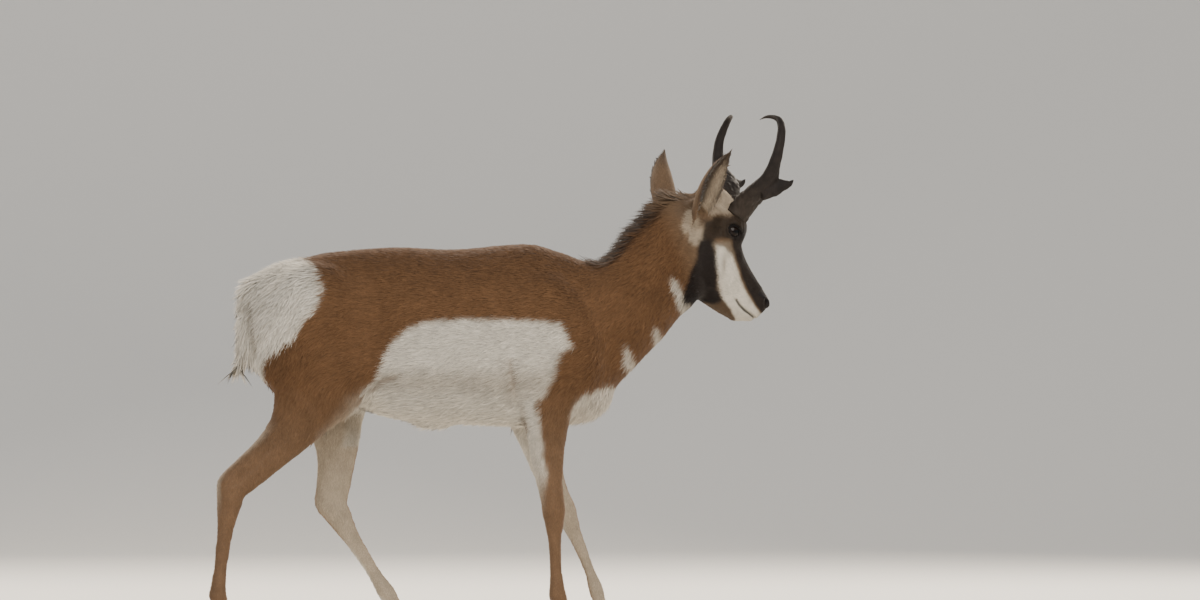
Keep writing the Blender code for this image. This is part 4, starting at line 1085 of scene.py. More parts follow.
def trunk_layers(colours, points, normals, view):
    """Tan, darker on the back, paler down the legs, then the pale patches, and painted shade in the creases
    and low on the side patch.
    """
    x, z = points[:, 0], points[:, 2]
    inner = normals[:, 1] * -np.sign(points[:, 1])
    low = ease_in(0.50, 0.44, z)
    colours = mix(colours, CREAM, ease_in(0.15, 0.65, inner) * ease_in(0.54, 0.46, z) * 0.95)
    back_of_leg = ease_in(0.45, 0.85, -normals[:, 0]) * low * ease_in(0.26, 0.36, z)
    colours = mix(colours, CREAM, back_of_leg * 0.7)
    colours = mix(colours, PALE, within(view, RUMP, 5))
    # Painted shadow in the crease between tail and buttock.
    crease = np.exp(-(line_gap(view, np.array(TAIL_CREASE_SHADOW)) / 6) ** 2)
    crease = crease * ease_in(0.020, 0.032, np.abs(points[:, 1]))
    colours = mix(colours, np.array(CREAM) * 0.45, crease * 0.8)
    side_patch = within(view, SIDE, 8)
    colours = mix(colours, PALE, side_patch)
    # The lower part of the side patch is darkened with painted shadow.
    colours = mix(colours, SIDE_PATCH_SHADOW, side_patch * ease_in(0.620, 0.570, z) * 0.45)
    colours = mix(colours, CREAM, within(view, THIGH_FOLD, 20) * 0.5)
    colours = mix(colours, PALE, within(view, FORE_STRIP, 5) * ease_in(0.29, 0.40, z) * 0.85)
    # Painted shade along the folds of elbow and flank.
    for line, _, width in SHADED_FOLDS:
        gap = line_gap(points[:, [0, 2]] / MM, np.array(line, dtype=float))
        colours = mix(colours, np.array(TAN) * 0.8, np.exp(-(gap / (width * 0.9)) ** 2) * 0.62)
    belly = ease_in(0.25, 0.6, -normals[:, 2]) * ease_in(-0.36, -0.30, x) * ease_in(0.20, 0.12, x)
    colours = mix(colours, PALE, belly * ease_in(0.60, 0.54, z) * (x < 0.4))
    return mix(colours, PALE, within(view, CHEST, 6) * 0.85)


print("folds that show as dark lines:", len(SHADED_FOLDS))

# %% [markdown]
# Neck and head take their layers last, since their marks lie over the tan. A dark crest runs up
# the neck, pale crescents cross the throat, and the mask goes over everything on the face.

# %% Colours of neck and head
def head_layers(colours, points, normals, view, head):
    """Crest, crescents of the throat, jaw, pale cheek, dark mask, nose and mouth, in turn."""
    crest = ease_in(0.034, 0.012, np.abs(points[:, 1])) * ease_in(0.20, 0.25, points[:, 0])
    crest *= ease_in(0.1, 0.5, normals[:, 2]) * (1 - head)
    colours = mix(colours, CREST, crest * 0.92)
    for outline, share in ((NECK_LOW, 0.75), (NECK_MID, 0.65), (THROAT, 0.85)):
        colours = mix(colours, PALE, within(view, outline, 4) * share)
    jaw = ease_in(0.6, 0.9, -normals[:, 2]) * head
    colours = mix(colours, CREAM, jaw * 0.5)
    colours = mix(colours, np.array(HEAD_TAN) * 0.6, within(view, JAW_BROWN, 6) * head * 0.9)
    colours = mix(colours, GREY_BROWN, within(view, UNDER_EYE, 5) * head)
    colours = mix(colours, PALE, within(view, FACE_PALE, 4) * head)
    smudge = ease_in(0.15, 0.8, noise(points * [1, 1, 0.6], 0.016, 12))
    smudge = smudge * ease_in(-60, -150, head_frame(points)[0])
    colours = mix(colours, GREY_BROWN, smudge * within(view, FACE_PALE, 2) * head * 0.6)
    colours = mix(colours, CREAM, within(view, UNDER_EAR, 6) * head * 0.75)
    colours = mix(colours, CREAM, within(view, EAR_HORN, 6) * head * 0.75)
    colours = mix(colours, DARK, within(view, CHEEK_DARK, 4) * 0.96)
    # Dark hair round the eye, with painted shadow under the brow.
    colours = mix(colours, DARK_HAIR_AND_BROW_SHADOW, within(view, EYE_DARK, 6) * head * 0.85)
    colours = mix(colours, DARK, within(view, MASK, 4) * head * 0.93)
    colours = mix(colours, DARK, within(view, NOSE_PAD, 2) * head)
    mouth = np.exp(-(mouth_gap(points) / 2.4) ** 2) * head
    return mix(colours, DARK, mouth * 0.95)


def body_colours(points, normals):
    """The colour of skin and hair at each place: ground colours, layers, then a fine grain."""
    z = points[:, 2]
    head = ease_in(-0.03, 0.03, forward_of_neck(points))
    fine = np.stack([noise(points, 0.014, k) for k in (1, 2)], axis=1)
    broad = np.stack([noise(points, 0.040, k) for k in (3, 4)], axis=1)
    view = side_view(points) + (fine * 3.0 + broad * 4.0) * (1 - 0.6 * head[:, None])
    colours = np.tile(np.array(TAN), (len(points), 1))
    colours = mix(colours, BACK, ease_in(0.2, 0.95, normals[:, 2]) * 0.75 * ease_in(0.6, 0.8, z))
    colours = mix(colours, LEG_TAN, ease_in(0.60, 0.42, z))
    colours = mix(colours, HEAD_TAN, head)
    colours = trunk_layers(colours, points, normals, view)
    colours = head_layers(colours, points, normals, view, head)
    grain = 1 + 0.10 * noise(points, 0.022, 5) + 0.08 * noise(points, 0.006, 6)
    return colours * grain[:, None]


print("outlines on neck and throat:", len((NECK_LOW, NECK_MID, THROAT)))

# %% [markdown]
# An ear is brown behind and pale within, and its rims and tip are dark, as if dipped in soot.
# Outlines on the side view don't work here, because the cup hides its own inside. The marks kept
# with each of its points do.

# %% Colours of the ears
EAR_RIM = (0.045, 0.028, 0.018)


def ear_colours(marks, points):
    """Brown outside, pale inside with painted shade in the deep middle of the cup, dark along the rims and
    at the tip.
    """
    along, edge, cup = marks.T
    colours = mix(np.tile(np.array(HEAD_TAN) * 1.15, (len(marks), 1)), CREAM, cup * 0.75)
    # Painted shade in the middle of the cup, where it is deepest.
    colours = mix(colours, CREST, cup * ease_in(0.52, 0.12, edge) * 0.9)
    rim = np.maximum(ease_in(0.84, 0.97, edge) * 0.8, ease_in(0.70, 0.90, along) * (0.55 + 0.35 * cup))
    colours = mix(colours, EAR_RIM, rim * ease_in(0.25, 0.5, along))
    return colours * (1 + 0.1 * noise(points, 0.008, 7))[:, None]


def skin_colours(points, normals, marks):
    """The body's colours, with the ears' own in their place."""
    colours = body_colours(points, normals)
    ears = marks[:, 0] >= 0
    colours[ears] = ear_colours(marks[ears], points[ears])
    return colours


colours = skin_colours(points, normals, ear_marks)
print("markings:", len(points), "points coloured")

# %% [markdown]
# Hair lies along the skin and mostly points away from the nose: up the face, down the neck and
# legs, back along the trunk and down over the rump. Particle hair could be combed by hand. A
# direction for each region, blended at the borders and laid flat on the skin, combs the whole
# animal at once. Round a horn's foot the hair follows the horn.

# %% Lie of the hair
# Points up the middle of the right horn as x, sideways, z in mm.
HORN_PATH = [
    (534, 42, 924), (552, 48, 948), (571, 58, 974), (588, 76, 999), (598, 97, 1020),
    (599, 116, 1042), (602, 130, 1073), (608, 135, 1106), (616, 128, 1136), (619, 113, 1156),
    (614, 94, 1163), (605, 77, 1163), (594, 62, 1155),
]


def lie_of_hair(points, normals, marks):
    """Directions along the skin: back on the trunk, down the neck and legs, up the face.

    A region's direction d changes to another by d + (other - d) * share. At the end, the part
    along the normal is taken away, so that the direction lies flat.
    """
    x, z = points[:, 0], points[:, 2]
    side = np.sign(points[:, 1])[:, None]
    ways = np.tile([-1.0, 0.0, -0.25], (len(points), 1))
    ways = mix(ways, (-0.66, 0, -0.62), ease_in(0.12, 0.26, x) * ease_in(0.54, 0.64, z))
    ways = mix(ways, (-0.35, 0, -0.95), ease_in(-0.38, -0.50, x))
    ways = mix(ways, (-0.40, 0, -0.90), ease_in(0.62, 0.52, z) * (np.abs(x + 0.1) > 0.18))
    ways = mix(ways, (-0.12, 0, -1.0), ease_in(0.50, 0.42, z))
    head = ease_in(-0.02, 0.03, forward_of_neck(points))
    ways = mix(ways, (-0.66, 0, 0.60), head)
    a, b = head_frame(points)
    ways = mix(ways, (-0.95, 0, 0.05), head * ease_in(-50, -95, b) * ease_in(-60, -100, a))
    ways += 0.22 * np.stack([noise(points, 0.045, k) for k in (8, 9, 10)], axis=1)
    ears = marks[:, 0] >= 0
    for out in (-1, 1):
        start, end = (np.array(HORN_PATH[k]) * [1, out, 1] * MM for k in (0, 3))
        gap = np.linalg.norm(points - start - 0.25 * (end - start), axis=1)
        ways = mix(ways, unit(end - start) * 1.2, ease_in(0.046, 0.030, gap) * (marks[:, 0] < 0))
    count = (ears.sum(), 1)
    ways[ears] = np.hstack([np.full(count, 0.10), 0.62 * side[ears], np.full(count, 0.78)])
    return unit(ways - (ways * normals).sum(axis=1, keepdims=True) * normals)


ways = lie_of_hair(points, normals, ear_marks)
print("hair on the trunk points", ways[np.abs(points[:, 0]) < 0.1].mean(axis=0).round(2))

# %% [markdown]
# The solids show the animal with its coat on. If the hair grew from their surface, it would be
# too large all round. So the skin is drawn in by the depth of the coat, and the tips of the hair
# end where the solids do. The depth follows the hair: least on face and feet, most on the rump.

# %% Depth of the coat, and the skin itself
COAT_ON_TRUNK, COAT_ON_FEET_LESS, COAT_ON_HEAD = 0.0042, 0.0032, 0.0012
SKIN_SHADE = 0.80


def coat_depth(points, marks):
    """How far the skin lies inside the solids: a depth for each region, eased at the borders."""
    x, z = points[:, 0], points[:, 2]
    depth = np.full(len(points), COAT_ON_TRUNK)
    depth = np.where(z < 0.55, COAT_ON_TRUNK - COAT_ON_FEET_LESS * ease_in(0.55, 0.36, z), depth)
    depth += 0.0035 * ease_in(-0.42, -0.50, x) * ease_in(0.55, 0.62, z)
    on_neck = ease_in(0.22, 0.28, x) * ease_in(0.0, -0.03, forward_of_neck(points))
    depth += 0.0030 * on_neck * ease_in(0.7, 0.8, z)
    head = ease_in(-0.03, 0.03, forward_of_neck(points))
    depth = depth * (1 - head) + COAT_ON_HEAD * head
    return np.where(marks[:, 0] >= 0, 0.0, depth)


core = points - normals * coat_depth(points, ear_marks)[:, None]
skin = make_mesh("skin", bend(core), quads, tris)
paint(skin, colours * SKIN_SHADE)
deepest = float(coat_depth(points, ear_marks).max())
print("skin:", len(core), "points, drawn in by up to", round(deepest, 4), "m")

# %% [markdown]
# A map lays a surface out flat, so that colours can be baked into a picture. Seams could be
# marked by hand. Smart UV Project cuts wherever the surface turns sharply, which is enough for
# fur. Each tuft takes its place on the skin's map from the spot where it grows.

# %% Unwrap
def unwrap(obj):
    """A map named OFBake on the whole object; returns u and v for each corner of each face."""
    bpy.context.view_layer.objects.active = obj
    obj.select_set(True)
    obj.data.uv_layers.new(name="OFBake")
    bpy.ops.object.mode_set(mode="EDIT")
    bpy.ops.mesh.select_all(action="SELECT")
    bpy.ops.uv.smart_project(angle_limit=math.radians(70), island_margin=0.0008)
    bpy.ops.object.mode_set(mode="OBJECT")
    obj.select_set(False)
    flat = np.empty(len(obj.data.loops) * 2, dtype=np.float32)
    obj.data.uv_layers["OFBake"].data.foreach_get("uv", flat)
    return flat.reshape(-1, 2)


skin_uv = unwrap(skin)
quad_uv = skin_uv[:len(quads) * 4].reshape(-1, 4, 2)
tri_uv = skin_uv[len(quads) * 4:].reshape(-1, 3, 2)
all_tris = np.vstack([quads[:, [0, 1, 2]], quads[:, [0, 2, 3]], tris])
all_uv = np.vstack([quad_uv[:, [0, 1, 2]], quad_uv[:, [0, 2, 3]], tri_uv])
print("unwrapped", len(quads) + len(tris), "faces")

# %% [markdown]
# Hair stands evenly, but not in rows. Random places clump and leave gaps. Here the skin's area,
# weighted by density, is laid end to end and cut into equal lengths, with one hair at random
# within each: as even as rows, without their order. Geometry nodes could scatter hair too, but
# the tufts have to end up as plain meshes that keep their colours.

# %% Where tufts grow
SEED = 11


def scatter(density, draw):
    """Places spread evenly over the skin by density: triangle, and shares of its corners.

    Density is tufts for each square metre. The shares are 1 - r, r (1 - s) and r s, with r the
    root of a random number, which spreads them evenly over the triangle.
    """
    corner = core[all_tris]
    area = np.linalg.norm(np.cross(corner[:, 1] - corner[:, 0], corner[:, 2] - corner[:, 0]), axis=1) / 2
    weight = area * density[all_tris].mean(axis=1)
    total = weight.cumsum()
    count = int(total[-1])
    pick = np.searchsorted(total, (np.arange(count) + draw.random(count)) / count * total[-1])
    pick = np.minimum(pick, len(all_tris) - 1)
    r, s = np.sqrt(draw.random(count)), draw.random(count)
    return pick, np.stack([1 - r, r * (1 - s), r * s], axis=1)


def at(values, pick, shares):
    """Vectors kept on the points, blended at each place by its shares of the three corners."""
    return (values[all_tris[pick]] * shares[:, :, None]).sum(axis=1)


def value(field, pick, shares):
    """The same for one number at each point."""
    return (field[all_tris[pick]] * shares).sum(axis=1)


print("area of the skin:", round(sum(
    np.linalg.norm(np.cross(core[all_tris[:, 1]] - core[all_tris[:, 0]],
                            core[all_tris[:, 2]] - core[all_tris[:, 0]]), axis=1)) / 2, 2), "m2")

# %% [markdown]
# Hair and skin share one way of taking their colour: the painted attribute, varied by a fine
# noise. Blender's hair shader is made for curves and doesn't suit solid tufts. The Principled
# shader does, with high roughness and a little sheen, since fur scatters light at its tips.

# %% Materials that read the painted colour
def node_material(name):
    """A material with its node tree and its Principled shader."""
    made = bpy.data.materials.new(name)
    made.use_nodes = True
    tree = made.node_tree
    return made, tree, tree.nodes["Principled BSDF"]


def noise_node(tree, scale, detail, stretch=None):
    """Noise over the object's own coordinates; a stretch squeezes it along each axis."""
    coords = tree.nodes.new("ShaderNodeTexCoord")
    texture = tree.nodes.new("ShaderNodeTexNoise")
    texture.inputs["Scale"].default_value = scale
    texture.inputs["Detail"].default_value = detail
    source = coords.outputs["Object"]
    if stretch:
        turn = tree.nodes.new("ShaderNodeMapping")
        turn.inputs["Scale"].default_value = stretch
        tree.links.new(source, turn.inputs["Vector"])
        source = turn.outputs["Vector"]
    tree.links.new(source, texture.inputs["Vector"])
    return texture.outputs["Fac"]


def scaled_colour(tree, colour, factor, low, high):
    """A colour times a value that runs from low to high with a factor."""
    spread = tree.nodes.new("ShaderNodeMapRange")
    spread.inputs["To Min"].default_value = low
    spread.inputs["To Max"].default_value = high
    tree.links.new(factor, spread.inputs["Value"])
    product = tree.nodes.new("ShaderNodeVectorMath")
    product.operation = "SCALE"
    tree.links.new(colour, product.inputs[0])
    tree.links.new(spread.outputs["Result"], product.inputs["Scale"])
    return product.outputs["Vector"]


def painted(name, roughness, bump, scale, low=0.85, high=1.15, stretch=None, sheen=0.0, specular=0.3):
    """Painted colour times a noise from low to high, and the same noise as a bump in metres."""
    made, tree, shader = node_material(name)
    attribute = tree.nodes.new("ShaderNodeAttribute")
    attribute.attribute_name = COAT_LAYER
    grain = noise_node(tree, scale, 4, stretch)
    colour = scaled_colour(tree, attribute.outputs["Color"], grain, low, high)
    tree.links.new(colour, shader.inputs["Base Color"])
    shader.inputs["Roughness"].default_value = roughness
    shader.inputs["Sheen Weight"].default_value = sheen
    shader.inputs["Sheen Roughness"].default_value = 0.5
    shader.inputs["Specular IOR Level"].default_value = specular
    if bump:
        height = tree.nodes.new("ShaderNodeBump")
        height.inputs["Strength"].default_value = 0.5
        height.inputs["Distance"].default_value = bump
        tree.links.new(grain, height.inputs["Height"])
        tree.links.new(height.outputs["Normal"], shader.inputs["Normal"])
    return made


coat_material = painted("coat_hair", 0.78, 0, 90.0, 0.86, 1.14, sheen=0.10, specular=0.15)
skin_material = painted("coat_under", 0.80, 0.0012, 420.0, 0.75, 1.2)
print("materials:", coat_material.name, skin_material.name)

# %% [markdown]
# The one skin now stands in for every solid of flesh: head, neck, trunk, tail, ears and legs.
# The solids could be shown under the coat instead, but their cuts would show between the hairs.

# %% The skin takes its place
skin.data.materials.append(skin_material)
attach(skin, "root")
flesh = ["head", "neck", "torso", "tail", "ear_left", "ear_right"] + ["leg_" + name for name in LEGS]
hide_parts(*flesh)
print("skin stands for", ", ".join(flesh))

# %% [markdown]
# A coat has far more hairs than can be drawn. Each tuft stands for a pinch of them: a short one
# is a flat wedge with a raised ridge, a long one a curved three-sided blade. Both are closed
# solids, so they can be seen from every side. Cards with a picture of hair would be lighter,
# but they vanish when seen edge on.

# %% Shapes of one tuft
WEDGE_FACES = np.array([(0, 1, 2), (0, 2, 3), (1, 3, 2), (0, 3, 1)])
WEDGE_LIGHT = [0.78, 0.78, 0.98]
BLADE_FACES = np.array([(0, 1, 2), (0, 4, 1), (0, 3, 4), (1, 5, 2), (1, 4, 5), (2, 3, 0),
                        (2, 5, 3), (3, 6, 4), (4, 6, 5), (5, 6, 3)])
BLADE_LIGHT = [0.80, 0.80, 0.86, 0.95, 0.95, 1.0]


def wedge(base, way, out, side, length, width, rise, sway):
    """Two corners at the root, a ridge at 0.36 of the length, and the tip."""
    ridge = base + way * length * 0.36 + out * (rise * 0.62 + 0.0003) + sway * 0.3
    return [base - side * width, base + side * width, ridge, base + way * length + out * rise + sway]


def blade(base, way, out, side, length, width, rise, sway):
    """Three corners at the root and three at 0.45 of the length, risen by share^1.4, and the tip."""
    corners = []
    for share, wide in ((0.0, 0.8), (0.45, 1.0)):
        spot = base + way * length * share + out * rise * share**1.4 + sway * share**2
        corners += [spot - side * width * wide, spot + side * width * wide,
                    spot + out * width * 0.7 * wide]
    return corners + [base + way * length + out * rise + sway]


print("triangles in a wedge and a blade:", len(WEDGE_FACES), len(BLADE_FACES))

# %% [markdown]
# All tufts of a region are one mesh, since half a million objects would choke the scene. Each
# repeats one pattern of faces, with its number of points added. Its corners stand in a small
# ring on the map round the spot of skin that it grows from. A tuft's own faces would glitter, so it
# is shaded with the skin's direction instead, turned a little at random.

# %% A piece of the coat
PATCH = 0.003
MOST_TRIANGLES = 190000


def make_coat(name, rings, faces, roots_uv, shades, aims):
    """A piece of the coat from points (tuft, corner, xyz) and the pattern of one tuft."""
    count, each = rings.shape[:2]
    every = (faces[None] + (np.arange(count) * each)[:, None, None]).reshape(-1, 3)
    obj = make_mesh(name, rings.reshape(-1, 3), np.zeros((0, 4)), every)
    layer = obj.data.uv_layers.new(name="OFBake")
    spin = np.linspace(0, 2 * math.pi, each, endpoint=False)
    ring = np.stack([np.cos(spin), np.sin(spin)], axis=1) * PATCH / 2
    spots = (roots_uv[:, None, :] + ring[None]).reshape(-1, 2)
    spots = np.clip(spots, 0.001, 0.999)
    layer.data.foreach_set("uv", spots[every.ravel()].ravel().astype(np.float32))
    paint(obj, shades.reshape(-1, 3))
    obj.data.normals_split_custom_set_from_vertices(aims.reshape(-1, 3))
    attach(obj, "root")
    obj.data.materials.append(coat_material)
    return obj


def tufts(name, pick, shares, length, width, rise, draw, long=False, tip=0.25, slot="tan_coat", splay=0.16):
    """Grow tufts at places on the skin; lengths are in metres, one for all or one for each.

    The tip is root + way * length + out * rise, where way is the lie of the hair with a random
    splay, laid flat again. Colours are the skin's, darker at the root and lighter at the tip.
    """
    root = at(core, pick, shares)
    out = unit(at(normals, pick, shares))
    way = at(ways, pick, shares)
    count = len(pick)
    way = way + draw.normal(0, splay, (count, 3))
    way = unit(way - (way * out).sum(axis=1, keepdims=True) * out)
    side = np.cross(way, out)
    colour = at(colours, pick, shares) * (1 + draw.normal(0, 0.085, (count, 1)))
    length = (length * (1 + draw.uniform(-0.3, 0.2, count)))[:, None]
    width = (width * (1 + draw.uniform(-0.25, 0.25, count)))[:, None] / 2
    rise = (rise * (1 + draw.uniform(-0.4, 0.35, count)))[:, None]
    sway = side * length * draw.normal(0, 0.06, (count, 1))
    shape, faces, light = (blade, BLADE_FACES, BLADE_LIGHT) if long else (wedge, WEDGE_FACES, WEDGE_LIGHT)
    rings = np.stack(shape(root - out * 0.0008, way, out, side, length, width, rise, sway), axis=1)
    each = rings.shape[1]
    aim = unit(out + draw.normal(0, 0.16, (count, 3)) + way * 0.12)
    aims = np.repeat(turn_ways(root, aim), each, axis=0).reshape(count, each, 3)
    rings = bend(rings.reshape(-1, 3)).reshape(count, each, 3)
    shades = colour[:, None, :] * np.array(light + [1 + tip])[None, :, None]
    uv = (all_uv[pick] * shares[:, :, None]).sum(axis=1)
    most = MOST_TRIANGLES // len(faces)
    order = np.argsort(root[:, 0] + 1e-3 * np.sign(root[:, 1]))
    for number, start in enumerate(range(0, count, most)):
        some = order[start:start + most]
        make_coat(f"{name}_{number + 1}", rings[some], faces, uv[some], shades[some], aims[some])
    print(name, count, "tufts", count * len(faces), "triangles")
    return count * len(faces)


print("a piece of coat holds at most", MOST_TRIANGLES, "triangles")

# %% [markdown]
# Hair thins out where the skin is bare or covered: on the nose, between the lips, inside the
# lids, beneath a hoof. Painted masks would do. Here each region is a share from zero to one,
# worked out from the place, so that a change to a size moves its mask with it.

# %% Regions of the coat
HOOF_HEIGHT = 40
draw = np.random.default_rng(SEED)
x, z = core[:, 0], core[:, 2]
a = head_frame(core)[0]
view = side_view(core)
on_head = ease_in(-0.02, 0.03, forward_of_neck(core)) * (~is_ear)
rump = within(view, RUMP, 8) * (~is_ear) * (z > 0.5)
on_leg = ease_in(0.54, 0.44, z)
muzzle = on_head * ease_in(-85, -35, a)
bald = within(view, NOSE_PAD, 2) * on_head
eye_gap = np.minimum(*(np.linalg.norm(core - eye_centre(side), axis=1) for side in (1, -1)))
open_lid = (eye_gap < (EYE_RADIUS + 2.0) * MM).astype(float)
under_tail = (x < -0.565) & (np.abs(core[:, 1]) < 0.034) & (z > 0.56) & (z < 0.66)
under_tail = under_tail * ease_in(0.0, 0.3, normals[:, 0])
under_hoof = np.zeros(len(core))
for _, side, joints in LEGS.values():
    ahead = x - joints[-1][0] * MM
    near = (np.abs(ahead) < 0.05) & (np.abs(core[:, 1] - side * MM) < 0.05)
    under_hoof = np.maximum(under_hoof, near * (z < HOOF_HEIGHT * MM + 0.30 * ahead))
print("share of points on the head:", round(float(on_head.mean()), 3))

# %% [markdown]
# A pronghorn's winter hairs are short and fine on muzzle and feet, and some two centimetres long
# on the trunk. Each region gets its length, width, number for each square metre and rise from
# the skin, and the regions blend where they meet.

# %% Length, width, number and rise of short hair
length = 0.021 - 0.012 * on_leg - 0.004 * ease_in(0.3, 0.15, z)
length = length * (1 - on_head) + on_head * (0.0095 - 0.0050 * muzzle)
length += on_head * 0.008 * ease_in(-215, -270, a)
horn_feet = (np.array(HORN_PATH[1]) * [1, side, 1] * MM for side in (-1, 1))
horn_gap = np.minimum(*(np.linalg.norm(core - foot, axis=1) for foot in horn_feet))
length += 0.006 * ease_in(0.045, 0.030, horn_gap)
length[is_ear] = 0.0085
width = 0.0027 - 0.0010 * on_leg
width = width * (1 - on_head) + on_head * (0.0016 - 0.0005 * muzzle)
width[is_ear] = 0.0015
density = 125000 + 130000 * on_leg
density = density * (1 - on_head) + on_head * (420000 + 260000 * muzzle)
density = density * (1 - 0.5 * rump)
density[is_ear] = 330000
density *= (1 - bald) * (1 - open_lid) * (1 - under_hoof)
density *= 1 - 0.95 * on_head * np.exp(-(mouth_gap(core) / 2.2) ** 2)
density *= 1 - under_tail
rise = coat_depth(core, ear_marks) * 0.95 + 0.0008 * (1 - on_head)
rise = np.where(is_ear, 0.0010, rise)
print("short hair is", length.min().round(4), "to", length.max().round(4), "m long")

# %% [markdown]
# Short hair covers the whole animal in one pass, so there is no gap between regions. It is then
# shared out to a piece for the head and pieces for the body.

# %% Short coat
total = 0
pick, shares = scatter(density, draw)
part_head = value(on_head + is_ear, pick, shares) > 0.5
for name, chosen, slot in (("coat_head", part_head, "face_coat"), ("coat_body", ~part_head, "tan_coat")):
    p, s = pick[chosen], shares[chosen]
    total += tufts(name, p, s, value(length, p, s), value(width, p, s), value(rise, p, s), draw, slot=slot)

# %% [markdown]
# The white hair of the rump is the animal's alarm: it is long, and stands up when danger is near.
# At rest it hangs. It could be a smooth pale patch, but then the outline would be too clean. Long
# blades over the solids' locks break it up, and the tail has the longest.

# %% Long hair of rump and tail
def grow_long(name, density, length, width, rise, **more):
    """Scatter long blades by density and grow them; returns their triangles."""
    pick, shares = scatter(density, draw)
    return tufts(name, pick, shares, length, width, rise, draw, long=True, **more)


on_tail = (x < -0.535) & (np.abs(core[:, 1]) < 0.034) & (z > 0.56) & (z < 0.83)
on_tail = on_tail * ease_in(0.75, 0.45, -normals[:, 2]) * (1 - under_tail)
total += grow_long("coat_rump", 70000 * rump * (1 - on_tail) * ease_in(0.56, 0.60, z),
                   0.036, 0.0032, 0.0105, slot="white_coat")
total += grow_long("coat_tail", 70000 * on_tail, 0.050, 0.0042, 0.0120, slot="white_coat", splay=0.22)

# %% [markdown]
# A short dark mane stands along the crest of the neck. It leans back and rises off the skin more
# than any other hair, so it gets the greatest rise.

# %% Mane and crown
crest = ease_in(0.024, 0.010, np.abs(core[:, 1])) * ease_in(0.215, 0.245, x)
crest = crest * ease_in(0.2, 0.5, normals[:, 2])
crest *= ease_in(0.455, 0.43, x) * (~is_ear)
total += grow_long("coat_mane", 150000 * crest, 0.046, 0.0034, 0.021, tip=0.15, splay=0.2)

# %% [markdown]
# Under the belly and down the front of the chest the hair hangs a little longer, which softens
# the line there. Only faces that look down or forward get it.

# %% Fringes of belly and chest
fringe = ease_in(0.35, 0.8, -normals[:, 2]) * (z > 0.44) * ease_in(0.62, 0.56, z) * (x < 0.30)
chest_front = 18000 * ease_in(0.3, 0.7, normals[:, 0]) * ease_in(0.14, 0.2, x)
chest_front = chest_front * ease_in(0.70, 0.62, z) * (1 - on_head) * (z > 0.46)
total += grow_long("coat_fringe", 16000 * fringe + chest_front, 0.030, 0.0030, 0.0070, splay=0.2)

# %% [markdown]
# Pale hair grows inside an ear from both rims towards the middle and keeps dust out. It is fine
# and lies across the cup, so its blades are narrow and splay widely.

# %% Hair inside the ears
cup = (ear_marks[:, 2] > 0.5) & (ear_marks[:, 0] > 0.25)
inner = cup * ease_in(0.30, 0.60, ear_marks[:, 1]) * ease_in(0.95, 0.85, ear_marks[:, 0])
total += grow_long("coat_ear", 120000 * inner, 0.017, 0.0017, 0.0065, tip=0.4, slot="face_coat", splay=0.25)
print("coat in all:", total, "triangles")

# %% [markdown]
# A pronghorn's horn is a sheath of black keratin over a bony core. It is deep and flat at the
# root, throws a prong forward and curls back at the tip. It could be carved from a block. Here
# two tubes are lofted up their paths, shaft and prong, and fused as the hide was. A section
# needs a direction to be deep in, which differs: the shaft is deep front to back, the prong
# stands on edge.

# %% Sizes of the horns, in mm
# Half depth and half width at each point of HORN_PATH.
HORN_SECTION = [
    (30, 18), (31, 18), (34, 17), (36, 15), (30, 13), (20, 11.5), (14, 10.5), (11.6, 9.5),
    (10, 8.4), (8.4, 7.2), (6.2, 5.6), (4.4, 4.0), (1.2, 1.2),
]
PRONG_PATH = [
    (587, 84, 998), (614, 94, 1003), (630, 100, 1008), (641, 104, 1010), (653, 106, 1014),
    (662, 108, 1023),
]
PRONG_SECTION = [(26, 12), (21, 10.5), (17, 9), (12, 7.5), (6.6, 5), (1.4, 1.4)]
SHAFT_DEEP = (1.0, 0.0, 0.25)
PRONG_DEEP = (0.0, 0.0, 1.0)
# The sheath starts this far up HORN_PATH, in points: below it is skin.
HORN_START = 0.6
HORN_VOXEL = 0.0017


def horn_rings(path, section, deep, side, count, around, start=0.0):
    """Rings square to a path; deep is the direction in which their half depth is measured."""
    rows = [(*p, *s) for p, s in zip(path, section)]
    table = smooth_rows(rows, count * 4) * MM
    table = table[int(start / (len(path) - 1) * count * 4):][::3]
    line = table[:, :3] * [1, side, 1]
    _, up, across = path_frames(line, np.array([deep]))
    return ellipse_rings(line, across, up, table[:, 3], table[:, 4], around), line


print("horn's path:", len(HORN_PATH), "points; prong's:", len(PRONG_PATH))

# %% [markdown]
# Close to, a horn is ridged along its length, warty at the root and worn smooth and paler at the
# tip. A bump map would show that only inside the outline. The ridges and warts are noise that
# moves the surface itself: stretched up the horn for ridges, even for warts, and each fading
# with the share of the way up.

# %% Horns
HORN_DARK, HORN_ROOT, HORN_WORN = (0.018, 0.014, 0.012), (0.032, 0.024, 0.018), (0.045, 0.034, 0.026)


